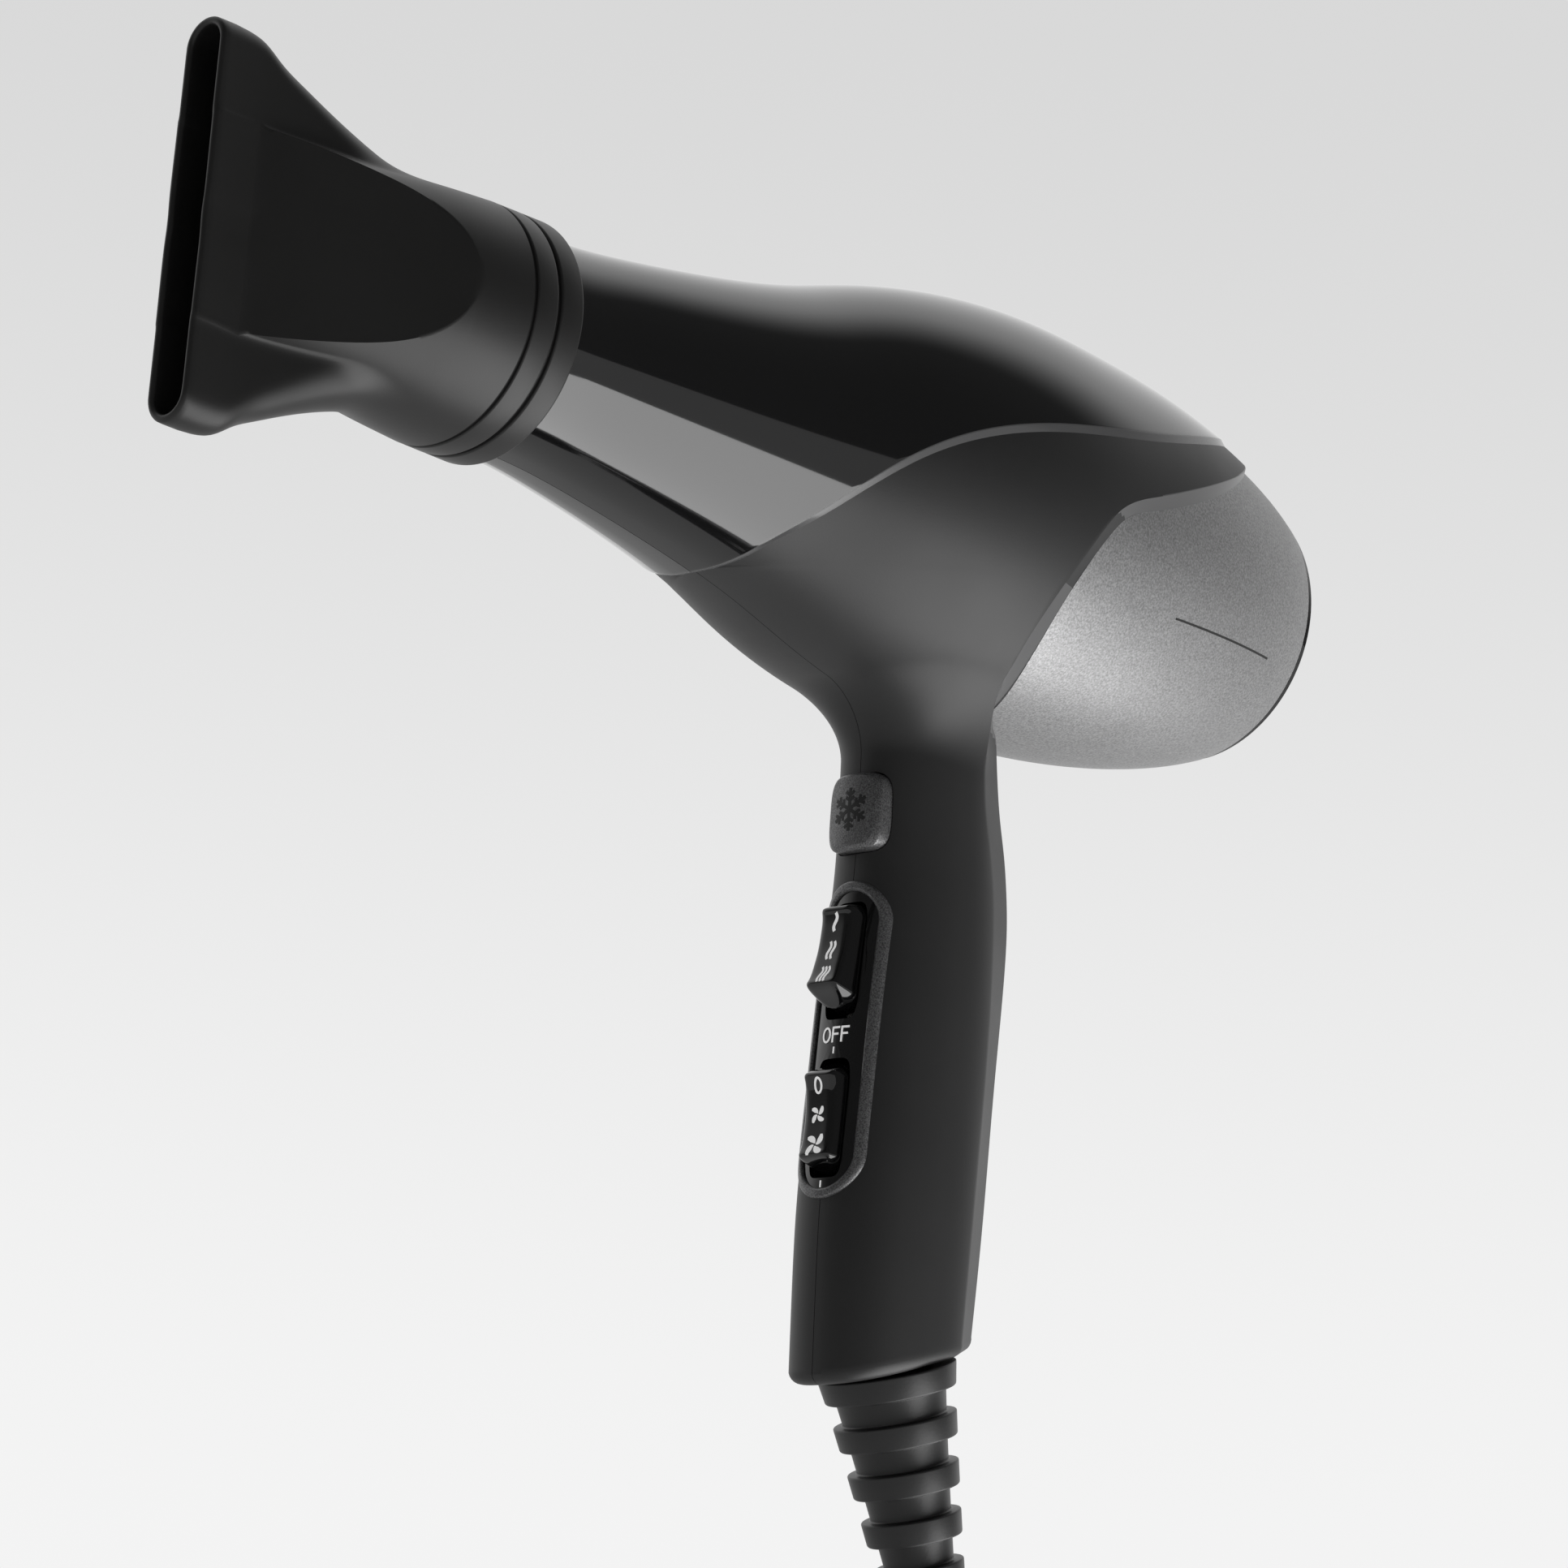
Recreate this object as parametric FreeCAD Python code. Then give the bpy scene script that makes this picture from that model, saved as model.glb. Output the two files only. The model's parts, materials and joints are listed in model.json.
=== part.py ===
"""Full-size hair dryer with a slotted concentrator nozzle, built as separate pieces.

Drawing frame (mm): x runs along the barrel axis from the rear edge of the nozzle
collar towards the air intake, z is up from that axis, y = 0 is the plane of symmetry.
Every piece is moved on export so that the origin is the middle of the hand grip.
"""
import FreeCAD
import Part
import math
import os
from FreeCAD import Vector as V

# ---- driving dimensions -------------------------------------------------------------
GRIP = V(131.0, 0, -125.0)         # middle of the hand grip, the exported origin

WALL = 2.4                         # wall of the outer mouldings
MATTE_DROP = 0.7                   # the matte shells sit this far below the gloss covers
REAR_DROP = 2.0                    # and the rear housing this far below them

# outline of the barrel: (x, outer radius) from the outlet to the intake
BARREL = [(-2, 22.4), (10, 23.0), (25, 24.8), (40, 27.2), (55, 30.0), (72, 34.1),
          (90, 39.7), (110, 44.3), (130, 46.3), (150, 46.0), (170, 44.6), (187, 42.3),
          (203, 38.9), (213, 36.0), (221, 33.0)]
REAR_END = 219.2                   # rear edge of the rear housing

# sections of the handle: (z, front x, rear x, half width)
HANDLE = [(-30, 112.0, 149.0, 13.0), (-50, 112.2, 148.4, 13.0), (-62, 112.6, 149.0, 13.0),
          (-80, 112.8, 152.0, 13.3), (-100, 111.6, 152.8, 14.2), (-125, 110.4, 152.2, 14.8),
          (-150, 109.6, 151.2, 15.0), (-170, 110.2, 150.3, 14.8), (-196, 111.4, 149.6, 14.4)]
HANDLE_POWER = 2.4                 # superellipse power of a handle section
HANDLE_FOOT = V(131.0, 0, -180.6)  # middle of the slanted bottom face
FOOT_TILT = 19.0                   # slant of the bottom face, degrees, rear end higher
NECK_FILLET = 12.0                 # blend between barrel and handle
SPINE_FILLET = 5.0                 # blend between rear housing and handle spine
FOOT_FILLET = 2.6                  # round of the handle's bottom edge

# edge of the gloss covers, side view (x, z), from underside to tail
COVER_EDGE = [(60.5, -60), (60.6, -34), (63, -28), (68, -22), (74, -15.5), (86, -5),
              (105, 4.5), (124, 10), (149, 16), (182, 26.5), (204, 35.5), (216, 41)]
# rear edge of the matte shells, side view, from tail down to the foot of the handle
SHELL_EDGE = [(226, 42), (207, 31), (186, 18), (170, 9.5), (149, 0.5), (139.5, -4.6),
              (133, -14), (130, -24), (132, -36), (138, -43.5), (145, -51), (148.6, -68),
              (151.2, -84), (150.6, -117), (149.6, -148), (148.2, -200)]

# outlet, nozzle ring and nozzle
OUTLET_R, OUTLET_BORE = 19.8, 18.4
OUTLET_FRONT, OUTLET_BACK = -22.0, 30.0
RING_CLEARANCE = 0.05
CLIP_RING_R = 22.6
CLIP_RING = (-14.5, -3.5)          # x range of the clip ring inside the nozzle collar
NOZZLE_R = 25.0                    # outer radius of the collar
NOZZLE_WALL = 1.6
MOUTH_X, LIP_X = -78.0, -67.0      # front of the mouth, rear of the straight lip
MOUTH_HALF_HEIGHT, LIP_HALF_WIDTH = 39.4, 5.6
PANEL_SLOPE = 0.446                # spread of the flat nozzle sides
COLLAR_FRONT = -16.0
GROOVES = (-6.1, -12.3)            # grooves round the collar
GROOVE_WIDTH, GROOVE_DEPTH = 1.0, 0.9
FAN_SLOPE = 0.17                   # spread of the fan-shaped part behind the lip
NOZZLE_ROUND = [(-14, 24.6), (-24, 23.9), (-45, 21.9), (-66, 21.0)]
NOZZLE_FLARE = [(-61, 35.6), (-51.5, 31.0), (-42, 27.0), (-30, 23.2)]

# air intake
INTAKE_R, INTAKE_BORE = 31.0, 27.6
INTAKE_FRONT, INTAKE_BACK = 206.0, 222.6

# heater, motor and fan
HEATER_R, HEATER_X = 22.4, (34.0, 92.0)
WINDING_R, WIRE_R = 17.0, 0.5
DUCT_R, STATOR_VANES = 34.0, 6
FAN_R, FAN_X = 32.2, (167.0, 183.0)
FAN_BLADES, BLADE_PITCH = 9, 42.0
SHAFT_R = 1.5
BUSH_R, BUSH_BORE = 3.0, 1.55
MOTOR_R, MOTOR_X = 16.0, (118.0, 160.0)

# switches, on the front of the handle
PANEL_Z, PANEL_HALF_WIDTH, PANEL_HALF_HEIGHT = -116.2, 9.2, 33.2
BEZEL_RIM = 2.2
ROCKER_HALF_WIDTH, ROCKER_HALF_HEIGHT = 4.2, 11.6
ROCKER_GAP, ROCKER_END_GAP = 0.3, 1.9   # round a rocker in its window
HEAT_Z, SPEED_Z = -99.6, -132.6
ROCKER_PIVOT_X, ROCKER_PIN_R = 117.0, 1.15
ROCKER_FACE = 10.6                 # pivot to the crown of a rocker
ROCKER_TILT = 11.0                 # one click either way
BUTTON_Z, BUTTON_HALF = -68.0, 8.2
BUTTON_FRONT = 109.9
BUTTON_TRAVEL = 2.2

# screws through the right-hand shell
SCREWS = [(139.0, -66.0), (139.0, -158.0)]
SCREW_R, SCREW_HEAD_R, BOSS_R = 1.4, 2.8, 3.6
SCREW_SEAT_Y = 9.0                 # underside of the screw heads
CLAMP_X, CLAMP_Z = (119.0, 135.0), -163.0

# strain relief and cord
CORD_D = 8.0
RELIEF_TILT = 20.0                 # axis leans to the rear, degrees from straight down
RELIEF_LENGTH = 60.0
RELIEF_TOP_R, RELIEF_TIP_R = 14.4, 7.2
RELIEF_RINGS = 6
SLEEVE_R, SLEEVE_DEPTH = 9.0, 9.0  # the part of the strain relief inside the handle
COIL_CENTRE = V(124.3, 0, -318.0)
COIL_INNER, COIL_OUTER, COIL_HALF_WIDTH = 35.3, 51.8, 16.3
TAIL_Y = 4.0
PLUG_TOP = -378.0
PLUG_LENGTH = 38.0
PIN_R, PIN_LENGTH, PIN_SPACING = 2.4, 19.0, 19.0
PIN_TIP_ROUND = 1.6

BIG = 400.0
OVERCUT = 5.0

relief_axis = V(math.sin(math.radians(RELIEF_TILT)), 0, -math.cos(math.radians(RELIEF_TILT)))
relief_root = HANDLE_FOOT + V(2.0, 0, 0)
relief_tip = relief_root + relief_axis * RELIEF_LENGTH

# lead from the strain relief to the coil, and tail from the coil to the plug
LEAD = [relief_tip, relief_tip + relief_axis * 27.5, V(170.4, -5, -290.5), V(172, -12, -318)]
TAIL = [V(172, TAIL_Y, -338), V(172.9, TAIL_Y + 0.3, -358), V(172, TAIL_Y, PLUG_TOP)]


# ---- helpers -----------------------------------------------------------------------
def save(name, shape):
    """Write one piece, moved so that the grip is the origin."""
    moved = shape.copy()
    moved.translate(-GRIP)
    moved.exportStep(os.path.join("parts", name + ".step"))


def spline(points):
    curve = Part.BSplineCurve()
    curve.interpolate(points)
    return curve.toShape()


def turned(points):
    """Solid of revolution about the x axis from a closed list of (x, radius)."""
    corners = [V(x, 0, r) for x, r in points]
    face = Part.Face(Part.makePolygon(corners + corners[:1]))
    return face.revolve(V(0, 0, 0), V(1, 0, 0), 360)


def tube(x0, x1, r_out, r_in):
    solid = Part.makeCylinder(r_out, x1 - x0, V(x0, 0, 0), V(1, 0, 0))
    hole = Part.makeCylinder(r_in, x1 - x0 + 2, V(x0 - 1, 0, 0), V(1, 0, 0))
    return solid.cut(hole)


def box(x0, x1, y0, y1, z0, z1):
    return Part.makeBox(x1 - x0, y1 - y0, z1 - z0, V(x0, y0, z0))


def group(solids):
    return Part.makeCompound(solids)


def side_prism(edges, half_width):
    """Prism across the dryer from closed edges drawn in the side view."""
    face = Part.Face(Part.Wire(edges))
    face.translate(V(0, -half_width, 0))
    return face.extrude(V(0, 2 * half_width, 0))


def polyline(points):
    return [Part.makeLine(a, b) for a, b in zip(points, points[1:])]


def stadium(x0, x1, z_mid, half_width, half_height):
    """Prism along x with an upright round-ended outline."""
    top, bottom = z_mid + half_height - half_width, z_mid - half_height + half_width
    body = box(x0, x1, -half_width, half_width, bottom, top)
    for z in (top, bottom):
        body = body.fuse(Part.makeCylinder(half_width, x1 - x0, V(x0, 0, z), V(1, 0, 0)))
    return body.removeSplitter()


def arcs_and_runs(points):
    """Wire of straight runs joined by the largest tangent arcs the runs allow."""
    edges = []
    start = points[0]
    for before, corner, after in zip(points, points[1:], points[2:]):
        into, out = (corner - before), (after - corner)
        half_turn = into.getAngle(out) / 2
        setback = 0.45 * min(into.Length, out.Length)
        print("cord bend radius", round(setback / math.tan(half_turn), 1))
        into.normalize()
        out.normalize()
        first, last = corner - into * setback, corner + out * setback
        middle = corner + (out - into).normalize() * (
            setback * (1 / math.cos(half_turn) - 1) / math.tan(half_turn))
        edges += [Part.LineSegment(start, first).toShape(),
                  Part.Arc(first, middle, last).toShape()]
        start = last
    edges.append(Part.LineSegment(start, points[-1]).toShape())
    return Part.Wire(edges)


def cable(points, radius):
    path = arcs_and_runs(points)
    ring = Part.Wire(Part.Circle(points[0], points[1] - points[0], radius).toShape())
    solid = path.makePipeShell([ring], True, False)
    expected = math.pi * radius ** 2 * path.Length
    print("cable length", round(path.Length, 1), "volume ratio", round(solid.Volume / expected, 4))
    return solid


# ---- outer skin ---------------------------------------------------------------------
def barrel(drop):
    """Solid inside the barrel outline, with the radius reduced by drop."""
    outline = spline([V(x, 0, r - drop) for x, r in BARREL])
    (x0, r0), (x1, r1) = BARREL[0], BARREL[-1]
    ends = polyline([V(x1, 0, r1 - drop), V(x1, 0, 0), V(x0, 0, 0), V(x0, 0, r0 - drop)])
    face = Part.Face(Part.Wire([outline] + ends))
    return face.revolve(V(0, 0, 0), V(1, 0, 0), 360)


def handle_section(z, front, rear, half_width, steps=28):
    centre, half_depth = (front + rear) / 2, (rear - front) / 2
    points = []
    for i in range(steps):
        angle = 2 * math.pi * i / steps
        c, s = math.cos(angle), math.sin(angle)
        x = math.copysign(abs(c) ** (2 / HANDLE_POWER), c) * half_depth
        y = math.copysign(abs(s) ** (2 / HANDLE_POWER), s) * half_width
        points.append(V(centre + x, y, z))
    curve = Part.BSplineCurve()
    curve.interpolate(points, PeriodicFlag=True)
    return Part.Wire(curve.toShape())


def foot_cutter(drop):
    """Everything below the slanted bottom face, raised by drop."""
    block = Part.makeBox(BIG, BIG, BIG, V(-BIG / 2, -BIG / 2, -BIG))
    block.rotate(V(0, 0, 0), V(0, 1, 0), -FOOT_TILT)
    block.translate(HANDLE_FOOT + V(0, 0, drop))
    return block


def handle(drop):
    wires = [handle_section(z, front + drop, rear - drop, half - drop)
             for z, front, rear, half in HANDLE]
    return Part.makeLoft(wires, True, False).cut(foot_cutter(drop))


def joined(barrel_drop, fillet):
    """Barrel and handle as one solid with a rounded neck."""
    grip = handle(0)
    foot = [e for e in grip.Edges if e.BoundBox.ZMax < -160 and e.Length > 30]
    grip = grip.makeFillet(FOOT_FILLET, foot)
    whole = barrel(barrel_drop).fuse(grip)
    neck = [e for e in whole.Edges
            if e.BoundBox.ZMax < -25 and e.BoundBox.ZMin > -56
            and e.BoundBox.XMin > 95 and e.BoundBox.XMax < 165]
    return whole.makeFillet(fillet, neck)


cover_cutter = side_prism(
    [spline([V(x, 0, z) for x, z in COVER_EDGE])]
    + polyline([V(216, 0, 41), V(216, 0, 90), V(-30, 0, 90), V(-30, 0, -60), V(60.5, 0, -60)]), 90)
shell_cutter = side_prism(
    [spline([V(x, 0, z) for x, z in SHELL_EDGE])]
    + polyline([V(148.2, 0, -200), V(0, 0, -260), V(-30, 0, 90), V(226, 0, 90), V(226, 0, 42)]), 90)
left_half = box(-BIG, BIG, -BIG, 0, -BIG, BIG)
right_half = box(-BIG, BIG, 0, BIG, -BIG, BIG)
hollow = barrel(MATTE_DROP + WALL).fuse(handle(WALL))


def relief_bore(radius):
    return Part.makeCylinder(radius, 40, relief_root - relief_axis * 30, relief_axis)


def screw_line(x, z, radius, y0, y1):
    return Part.makeCylinder(radius, y1 - y0, V(x, y0, z), V(0, 1, 0))


def make_covers():
    skin = barrel(0).cut(barrel(WALL)).common(cover_cutter)
    save("barrel_cover_left", skin.common(left_half))
    save("barrel_cover_right", skin.common(right_half))


def make_shells():
    outer = joined(MATTE_DROP, NECK_FILLET)
    skin = outer.cut(hollow).cut(cover_cutter).common(shell_cutter)
    window = stadium(95, 122, PANEL_Z, PANEL_HALF_WIDTH, PANEL_HALF_HEIGHT)
    hole_half = BUTTON_HALF + 0.15
    button_hole = box(95, 125, -hole_half, hole_half, BUTTON_Z - hole_half, BUTTON_Z + hole_half)
    skin = skin.cut(window).cut(button_hole).cut(relief_bore(SLEEVE_R + 0.2))
    reach = 30
    for x, z in SCREWS:
        boss = screw_line(x, z, BOSS_R, -reach, reach).common(handle(0.5))
        skin = skin.fuse(boss)
    left, right = skin.common(left_half), skin.common(right_half)
    for x, z in SCREWS:
        left = left.cut(screw_line(x, z, SCREW_R, -SCREW_SEAT_Y, 1))
        right = right.cut(screw_line(x, z, SCREW_R + 0.2, -1, reach))
        right = right.cut(screw_line(x, z, SCREW_HEAD_R + 0.3, SCREW_SEAT_Y, reach))
    save("body_shell_left", left)
    save("body_shell_right", right)


def make_rear():
    skin = barrel(REAR_DROP).cut(barrel(REAR_DROP + WALL)).cut(shell_cutter)
    skin = skin.cut(cover_cutter).common(box(-BIG, REAR_END, -BIG, BIG, -BIG, BIG))
    save("rear_housing", skin)
    spine = joined(REAR_DROP, SPINE_FILLET).cut(barrel(REAR_DROP)).cut(shell_cutter)
    spine = spine.cut(handle(WALL + 0.4)).common(box(100, 200, -40, 40, -BIG, -35))
    largest = max(spine.Solids, key=lambda s: s.Volume)
    save("handle_spine", largest)


# ---- outlet and nozzle --------------------------------------------------------------
def make_outlet():
    flange_front, flange_r = OUTLET_BACK - 4, 22.3
    flange = turned([(flange_front, OUTLET_R), (OUTLET_BACK, OUTLET_R), (OUTLET_BACK, flange_r + 0.3),
                     (flange_front, flange_r)])
    save("outlet_tube", tube(OUTLET_FRONT, OUTLET_BACK, OUTLET_R, OUTLET_BORE).fuse(flange))
    front, back = OUTLET_FRONT + 1.5, OUTLET_FRONT + 3.5
    rib = 1.2
    grille = tube(front, back, OUTLET_BORE, OUTLET_BORE - rib)
    for radius in (4.0, 8.6, 13.2):
        grille = grille.fuse(tube(front, back, radius, radius - rib))
    reach = OUTLET_BORE - rib / 2
    for angle in range(0, 180, 45):
        bar = box(front, back, -reach, reach, -rib / 2, rib / 2)
        bar.rotate(V(0, 0, 0), V(1, 0, 0), angle)
        grille = grille.fuse(bar)
    save("outlet_grille", grille)


def nozzle_solid(shrink):
    """The outside of the nozzle, or its inside when shrink is the wall."""
    over = OVERCUT if shrink else 0.0
    outline = [(x, r - shrink) for x, r in NOZZLE_ROUND]
    round_part = turned([(outline[0][0], 0)] + outline + [(outline[-1][0], 0)])
    mouth, high, thick = MOUTH_X - over, MOUTH_HALF_HEIGHT - shrink, LIP_HALF_WIDTH - shrink
    flare_end, flare_r = NOZZLE_FLARE[-1]

    def flare(sign):
        points = [(LIP_X, MOUTH_HALF_HEIGHT)] + NOZZLE_FLARE
        return spline([V(x, 0, sign * (z - shrink)) for x, z in points])

    outline = ([Part.makeLine(V(mouth, 0, high), V(LIP_X, 0, high)), flare(1),
                Part.makeLine(V(flare_end, 0, flare_r - shrink), V(flare_end, 0, shrink - flare_r)),
                flare(-1)]
               + polyline([V(LIP_X, 0, -high), V(mouth, 0, -high), V(mouth, 0, high)]))
    fan = side_prism(Part.sortEdges(outline)[0], NOZZLE_R + OVERCUT)

    def wedge(spread, reach):
        """Prism between the two nozzle sides, which spread behind the lip."""
        wide = thick + spread * (reach - LIP_X)
        points = [V(mouth - 1, -thick, 0), V(LIP_X, -thick, 0), V(reach, -wide, 0),
                  V(reach, wide, 0), V(LIP_X, thick, 0), V(mouth - 1, thick, 0)]
        face = Part.Face(Part.makePolygon(points + points[:1]))
        face.translate(V(0, 0, -2 * MOUTH_HALF_HEIGHT))
        return face.extrude(V(0, 0, 4 * MOUTH_HALF_HEIGHT))

    fan = fan.common(wedge(FAN_SLOPE, -20))
    return round_part.common(wedge(PANEL_SLOPE, OVERCUT)).fuse(fan)


def make_nozzle():
    root = Part.makeCylinder(NOZZLE_ROUND[0][1], 3, V(COLLAR_FRONT - 1, 0, 0), V(1, 0, 0))
    outer = nozzle_solid(0).fuse(root)
    tip_edges = [e for e in outer.Edges
                 if e.BoundBox.XMax < LIP_X + 0.5 and e.Length < 2.2 * LIP_HALF_WIDTH
                 and e.BoundBox.XLength > 8]
    outer = outer.makeFillet(LIP_HALF_WIDTH - 0.4, tip_edges)
    ring_bore, throat_r = CLIP_RING_R + RING_CLEARANCE, OUTLET_R + 0.6
    rear_bore, rear_depth = 23.2, 3.0
    inner_r, ring_front = 20.0, COLLAR_FRONT + 1
    collar = turned([(COLLAR_FRONT, inner_r), (COLLAR_FRONT, NOZZLE_R - 0.3), (0, NOZZLE_R),
                     (0, rear_bore), (-rear_depth, rear_bore), (-rear_depth, ring_bore),
                     (ring_front, ring_bore), (ring_front, inner_r)])
    for x in GROOVES:
        collar = collar.cut(tube(x - GROOVE_WIDTH / 2, x + GROOVE_WIDTH / 2, NOZZLE_R + 1,
                                 NOZZLE_R - GROOVE_DEPTH))
    throat = Part.makeCylinder(throat_r, 12, V(-25, 0, 0), V(1, 0, 0))
    clip_space = Part.makeCylinder(ring_bore, -ring_front, V(ring_front, 0, 0), V(1, 0, 0))
    behind = Part.makeCylinder(2 * NOZZLE_R, 20, V(COLLAR_FRONT, 0, 0), V(1, 0, 0))
    shell = outer.cut(nozzle_solid(NOZZLE_WALL)).cut(throat).cut(clip_space).cut(behind)
    save("nozzle_shell", shell)
    save("nozzle_collar", collar.cut(Part.makeCylinder(throat_r, 3, V(-17, 0, 0), V(1, 0, 0))))
    ring = tube(CLIP_RING[0], CLIP_RING[1], CLIP_RING_R, OUTLET_R + RING_CLEARANCE)
    split = box(CLIP_RING[0] - 1, CLIP_RING[1] + 1, -2, 2, CLIP_RING_R / 2, 2 * CLIP_RING_R)
    save("nozzle_clip_ring", ring.cut(split))


# ---- heater -------------------------------------------------------------------------
def make_heater():
    shield_wall, plate_half = 0.5, 18.5
    front, back = HEATER_X
    save("heat_shield_tube", tube(front - 2, back + 9, HEATER_R, HEATER_R - shield_wall))
    plates = box(front, back, -0.5, 0.5, -plate_half, plate_half)
    plates = plates.fuse(box(front, back, -plate_half, plate_half, -0.5, 0.5))
    plates = plates.fuse(tube(back - 2, back, HEATER_R - shield_wall, WINDING_R))
    save("heater_frame", plates)
    turns = []
    for count, pitch, radius, start in ((13, 4.0, WINDING_R, 3.0), (9, 5.5, 10.0, 5.0)):
        for i in range(count):
            turns.append(Part.makeTorus(radius, WIRE_R, V(front + start + pitch * i, 0, 0), V(1, 0, 0)))
    save("heater_coils", group(turns))
    seat = back + 0.1
    cap = Part.makeCylinder(3.0, 2.5, V(seat + 2.9, 7, 6), V(0, 0, 1))
    save("thermal_cutout", box(seat, seat + 5.9, 3, 11, 2, 6).fuse(cap))
    save("thermal_fuse", Part.makeCylinder(1.8, 9, V(seat, -8, 5), V(1, 0, 0)))


# ---- motor and fan ------------------------------------------------------------------
def make_motor():
    front, back = MOTOR_X
    wall = 1.2
    duct = turned([(100, 22.6), (114, DUCT_R - wall), (186, DUCT_R - wall), (186, DUCT_R),
                   (113.6, DUCT_R), (100, 24.0)])
    hub_front, hub_back, hub_bore = 134.0, 148.0, 17.8
    hub = tube(hub_front, hub_back, hub_bore + 1.4, hub_bore)
    for i in range(STATOR_VANES):
        vane = box(hub_front, hub_back, -0.8, 0.8, hub_bore + 0.8, DUCT_R - wall / 2)
        vane.rotate(V(0, 0, 0), V(1, 0, 0), 360 / STATOR_VANES * i)
        hub = hub.fuse(vane)
    save("motor_duct", duct.fuse(hub))
    save("motor_mount_rubber", tube(hub_front + 3, hub_back - 3, hub_bore - 0.05, MOTOR_R + 0.05))
    can = tube(front, back, MOTOR_R, MOTOR_R - wall)
    save("motor_can", can.fuse(tube(front, front + 1.5, MOTOR_R - wall / 2, BUSH_R)))
    save("motor_end_cap", tube(back, back + 2.5, MOTOR_R, BUSH_R))
    magnets = []
    for low, high in ((-20, 0), (0, 20)):
        sector = tube(front + 4, back - 4, MOTOR_R - wall - 0.05, 12.2)
        magnets.append(sector.common(box(front, back, -9, 9, low, high)))
    save("motor_magnets", group(magnets))
    save("motor_bushes", group([tube(x, x + 3, BUSH_R, BUSH_BORE) for x in (front + 0.5, back - 0.5)]))
    board_x, half = 107.0, 1.6
    board = tube(board_x, board_x + 1.6, 14.0, 4.0)
    for y, z in ((8, 5), (-8, 5), (8, -5), (-8, -5)):
        board = board.fuse(box(board_x - 3.6, board_x, y - half, y + half, z - half, z + half))
    save("rectifier_board", board)


def make_fan():
    front, back = FAN_X
    shaft_end = MOTOR_X[0] - 3
    save("motor_shaft", Part.makeCylinder(SHAFT_R, back + 1 - shaft_end, V(shaft_end, 0, 0), V(1, 0, 0)))
    rotor_r, slots = 11.7, 5
    rotor = tube(MOTOR_X[0] + 6, MOTOR_X[1] - 6, rotor_r, SHAFT_R)
    for i in range(slots):
        slot = box(MOTOR_X[0], MOTOR_X[1], -1.2, 1.2, 6.5, rotor_r + 2)
        slot.rotate(V(0, 0, 0), V(1, 0, 0), 360 / slots * i)
        rotor = rotor.cut(slot)
    save("motor_rotor", rotor)
    hub_r = 9.0
    impeller = turned([(front, SHAFT_R), (front, hub_r), (back - 3, hub_r), (back, hub_r - 3),
                       (back, SHAFT_R)])
    sweep = tube(front + 0.5, back - 0.5, FAN_R, hub_r - 0.6)
    for i in range(FAN_BLADES):
        blade = box(-14, 14, -0.7, 0.7, hub_r - 0.8, FAN_R + 2)
        blade.rotate(V(0, 0, 0), V(0, 0, 1), BLADE_PITCH)
        blade.translate(V((front + back) / 2, 0, 0))
        blade.rotate(V(0, 0, 0), V(1, 0, 0), 360 / FAN_BLADES * i)
        impeller = impeller.fuse(blade.common(sweep))
    save("impeller", impeller)


# ---- air intake ---------------------------------------------------------------------
def make_intake():
    seat_x, socket_r = REAR_END + 0.3, INTAKE_BORE + 0.6
    ring = turned([(seat_x, INTAKE_R), (INTAKE_BACK - 1.2, INTAKE_R - 0.2),
                   (INTAKE_BACK, INTAKE_R - 1.4), (INTAKE_BACK, INTAKE_BORE + 0.6),
                   (INTAKE_BACK - 1.0, INTAKE_BORE), (INTAKE_FRONT, INTAKE_BORE),
                   (INTAKE_FRONT, socket_r), (seat_x, socket_r)])
    save("intake_ring", ring)
    front, back, rib = 216.0, 218.4, 1.6
    grille = tube(front, back, INTAKE_BORE, INTAKE_BORE - rib)
    for i in range(6):
        radius = 3.6 + 4.1 * i
        grille = grille.fuse(tube(front, back, radius, radius - rib))
    reach = INTAKE_BORE - rib / 2
    for i in range(6):
        spoke = box(front, back, -rib / 2, rib / 2, -reach, reach)
        spoke.rotate(V(0, 0, 0), V(1, 0, 0), 30 * i)
        grille = grille.fuse(spoke)
    save("intake_grille", grille)
    rim_front, rim = front - 1.4, 1.2
    mesh = tube(rim_front, rim_front + rim, INTAKE_BORE, INTAKE_BORE - rim)
    wire, pitch, wires = 0.25, 4.6, 5
    wire_front, wire_back = rim_front + 0.4, rim_front + 0.8
    reach = INTAKE_BORE - rim / 2
    for i in range(-wires, wires + 1):
        low, high = pitch * i - wire, pitch * i + wire
        half = math.sqrt(reach ** 2 - (pitch * i) ** 2)
        mesh = mesh.fuse(box(wire_front, wire_back, -half, half, low, high))
        mesh = mesh.fuse(box(wire_front, wire_back, low, high, -half, half))
    save("intake_filter", mesh)


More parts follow.
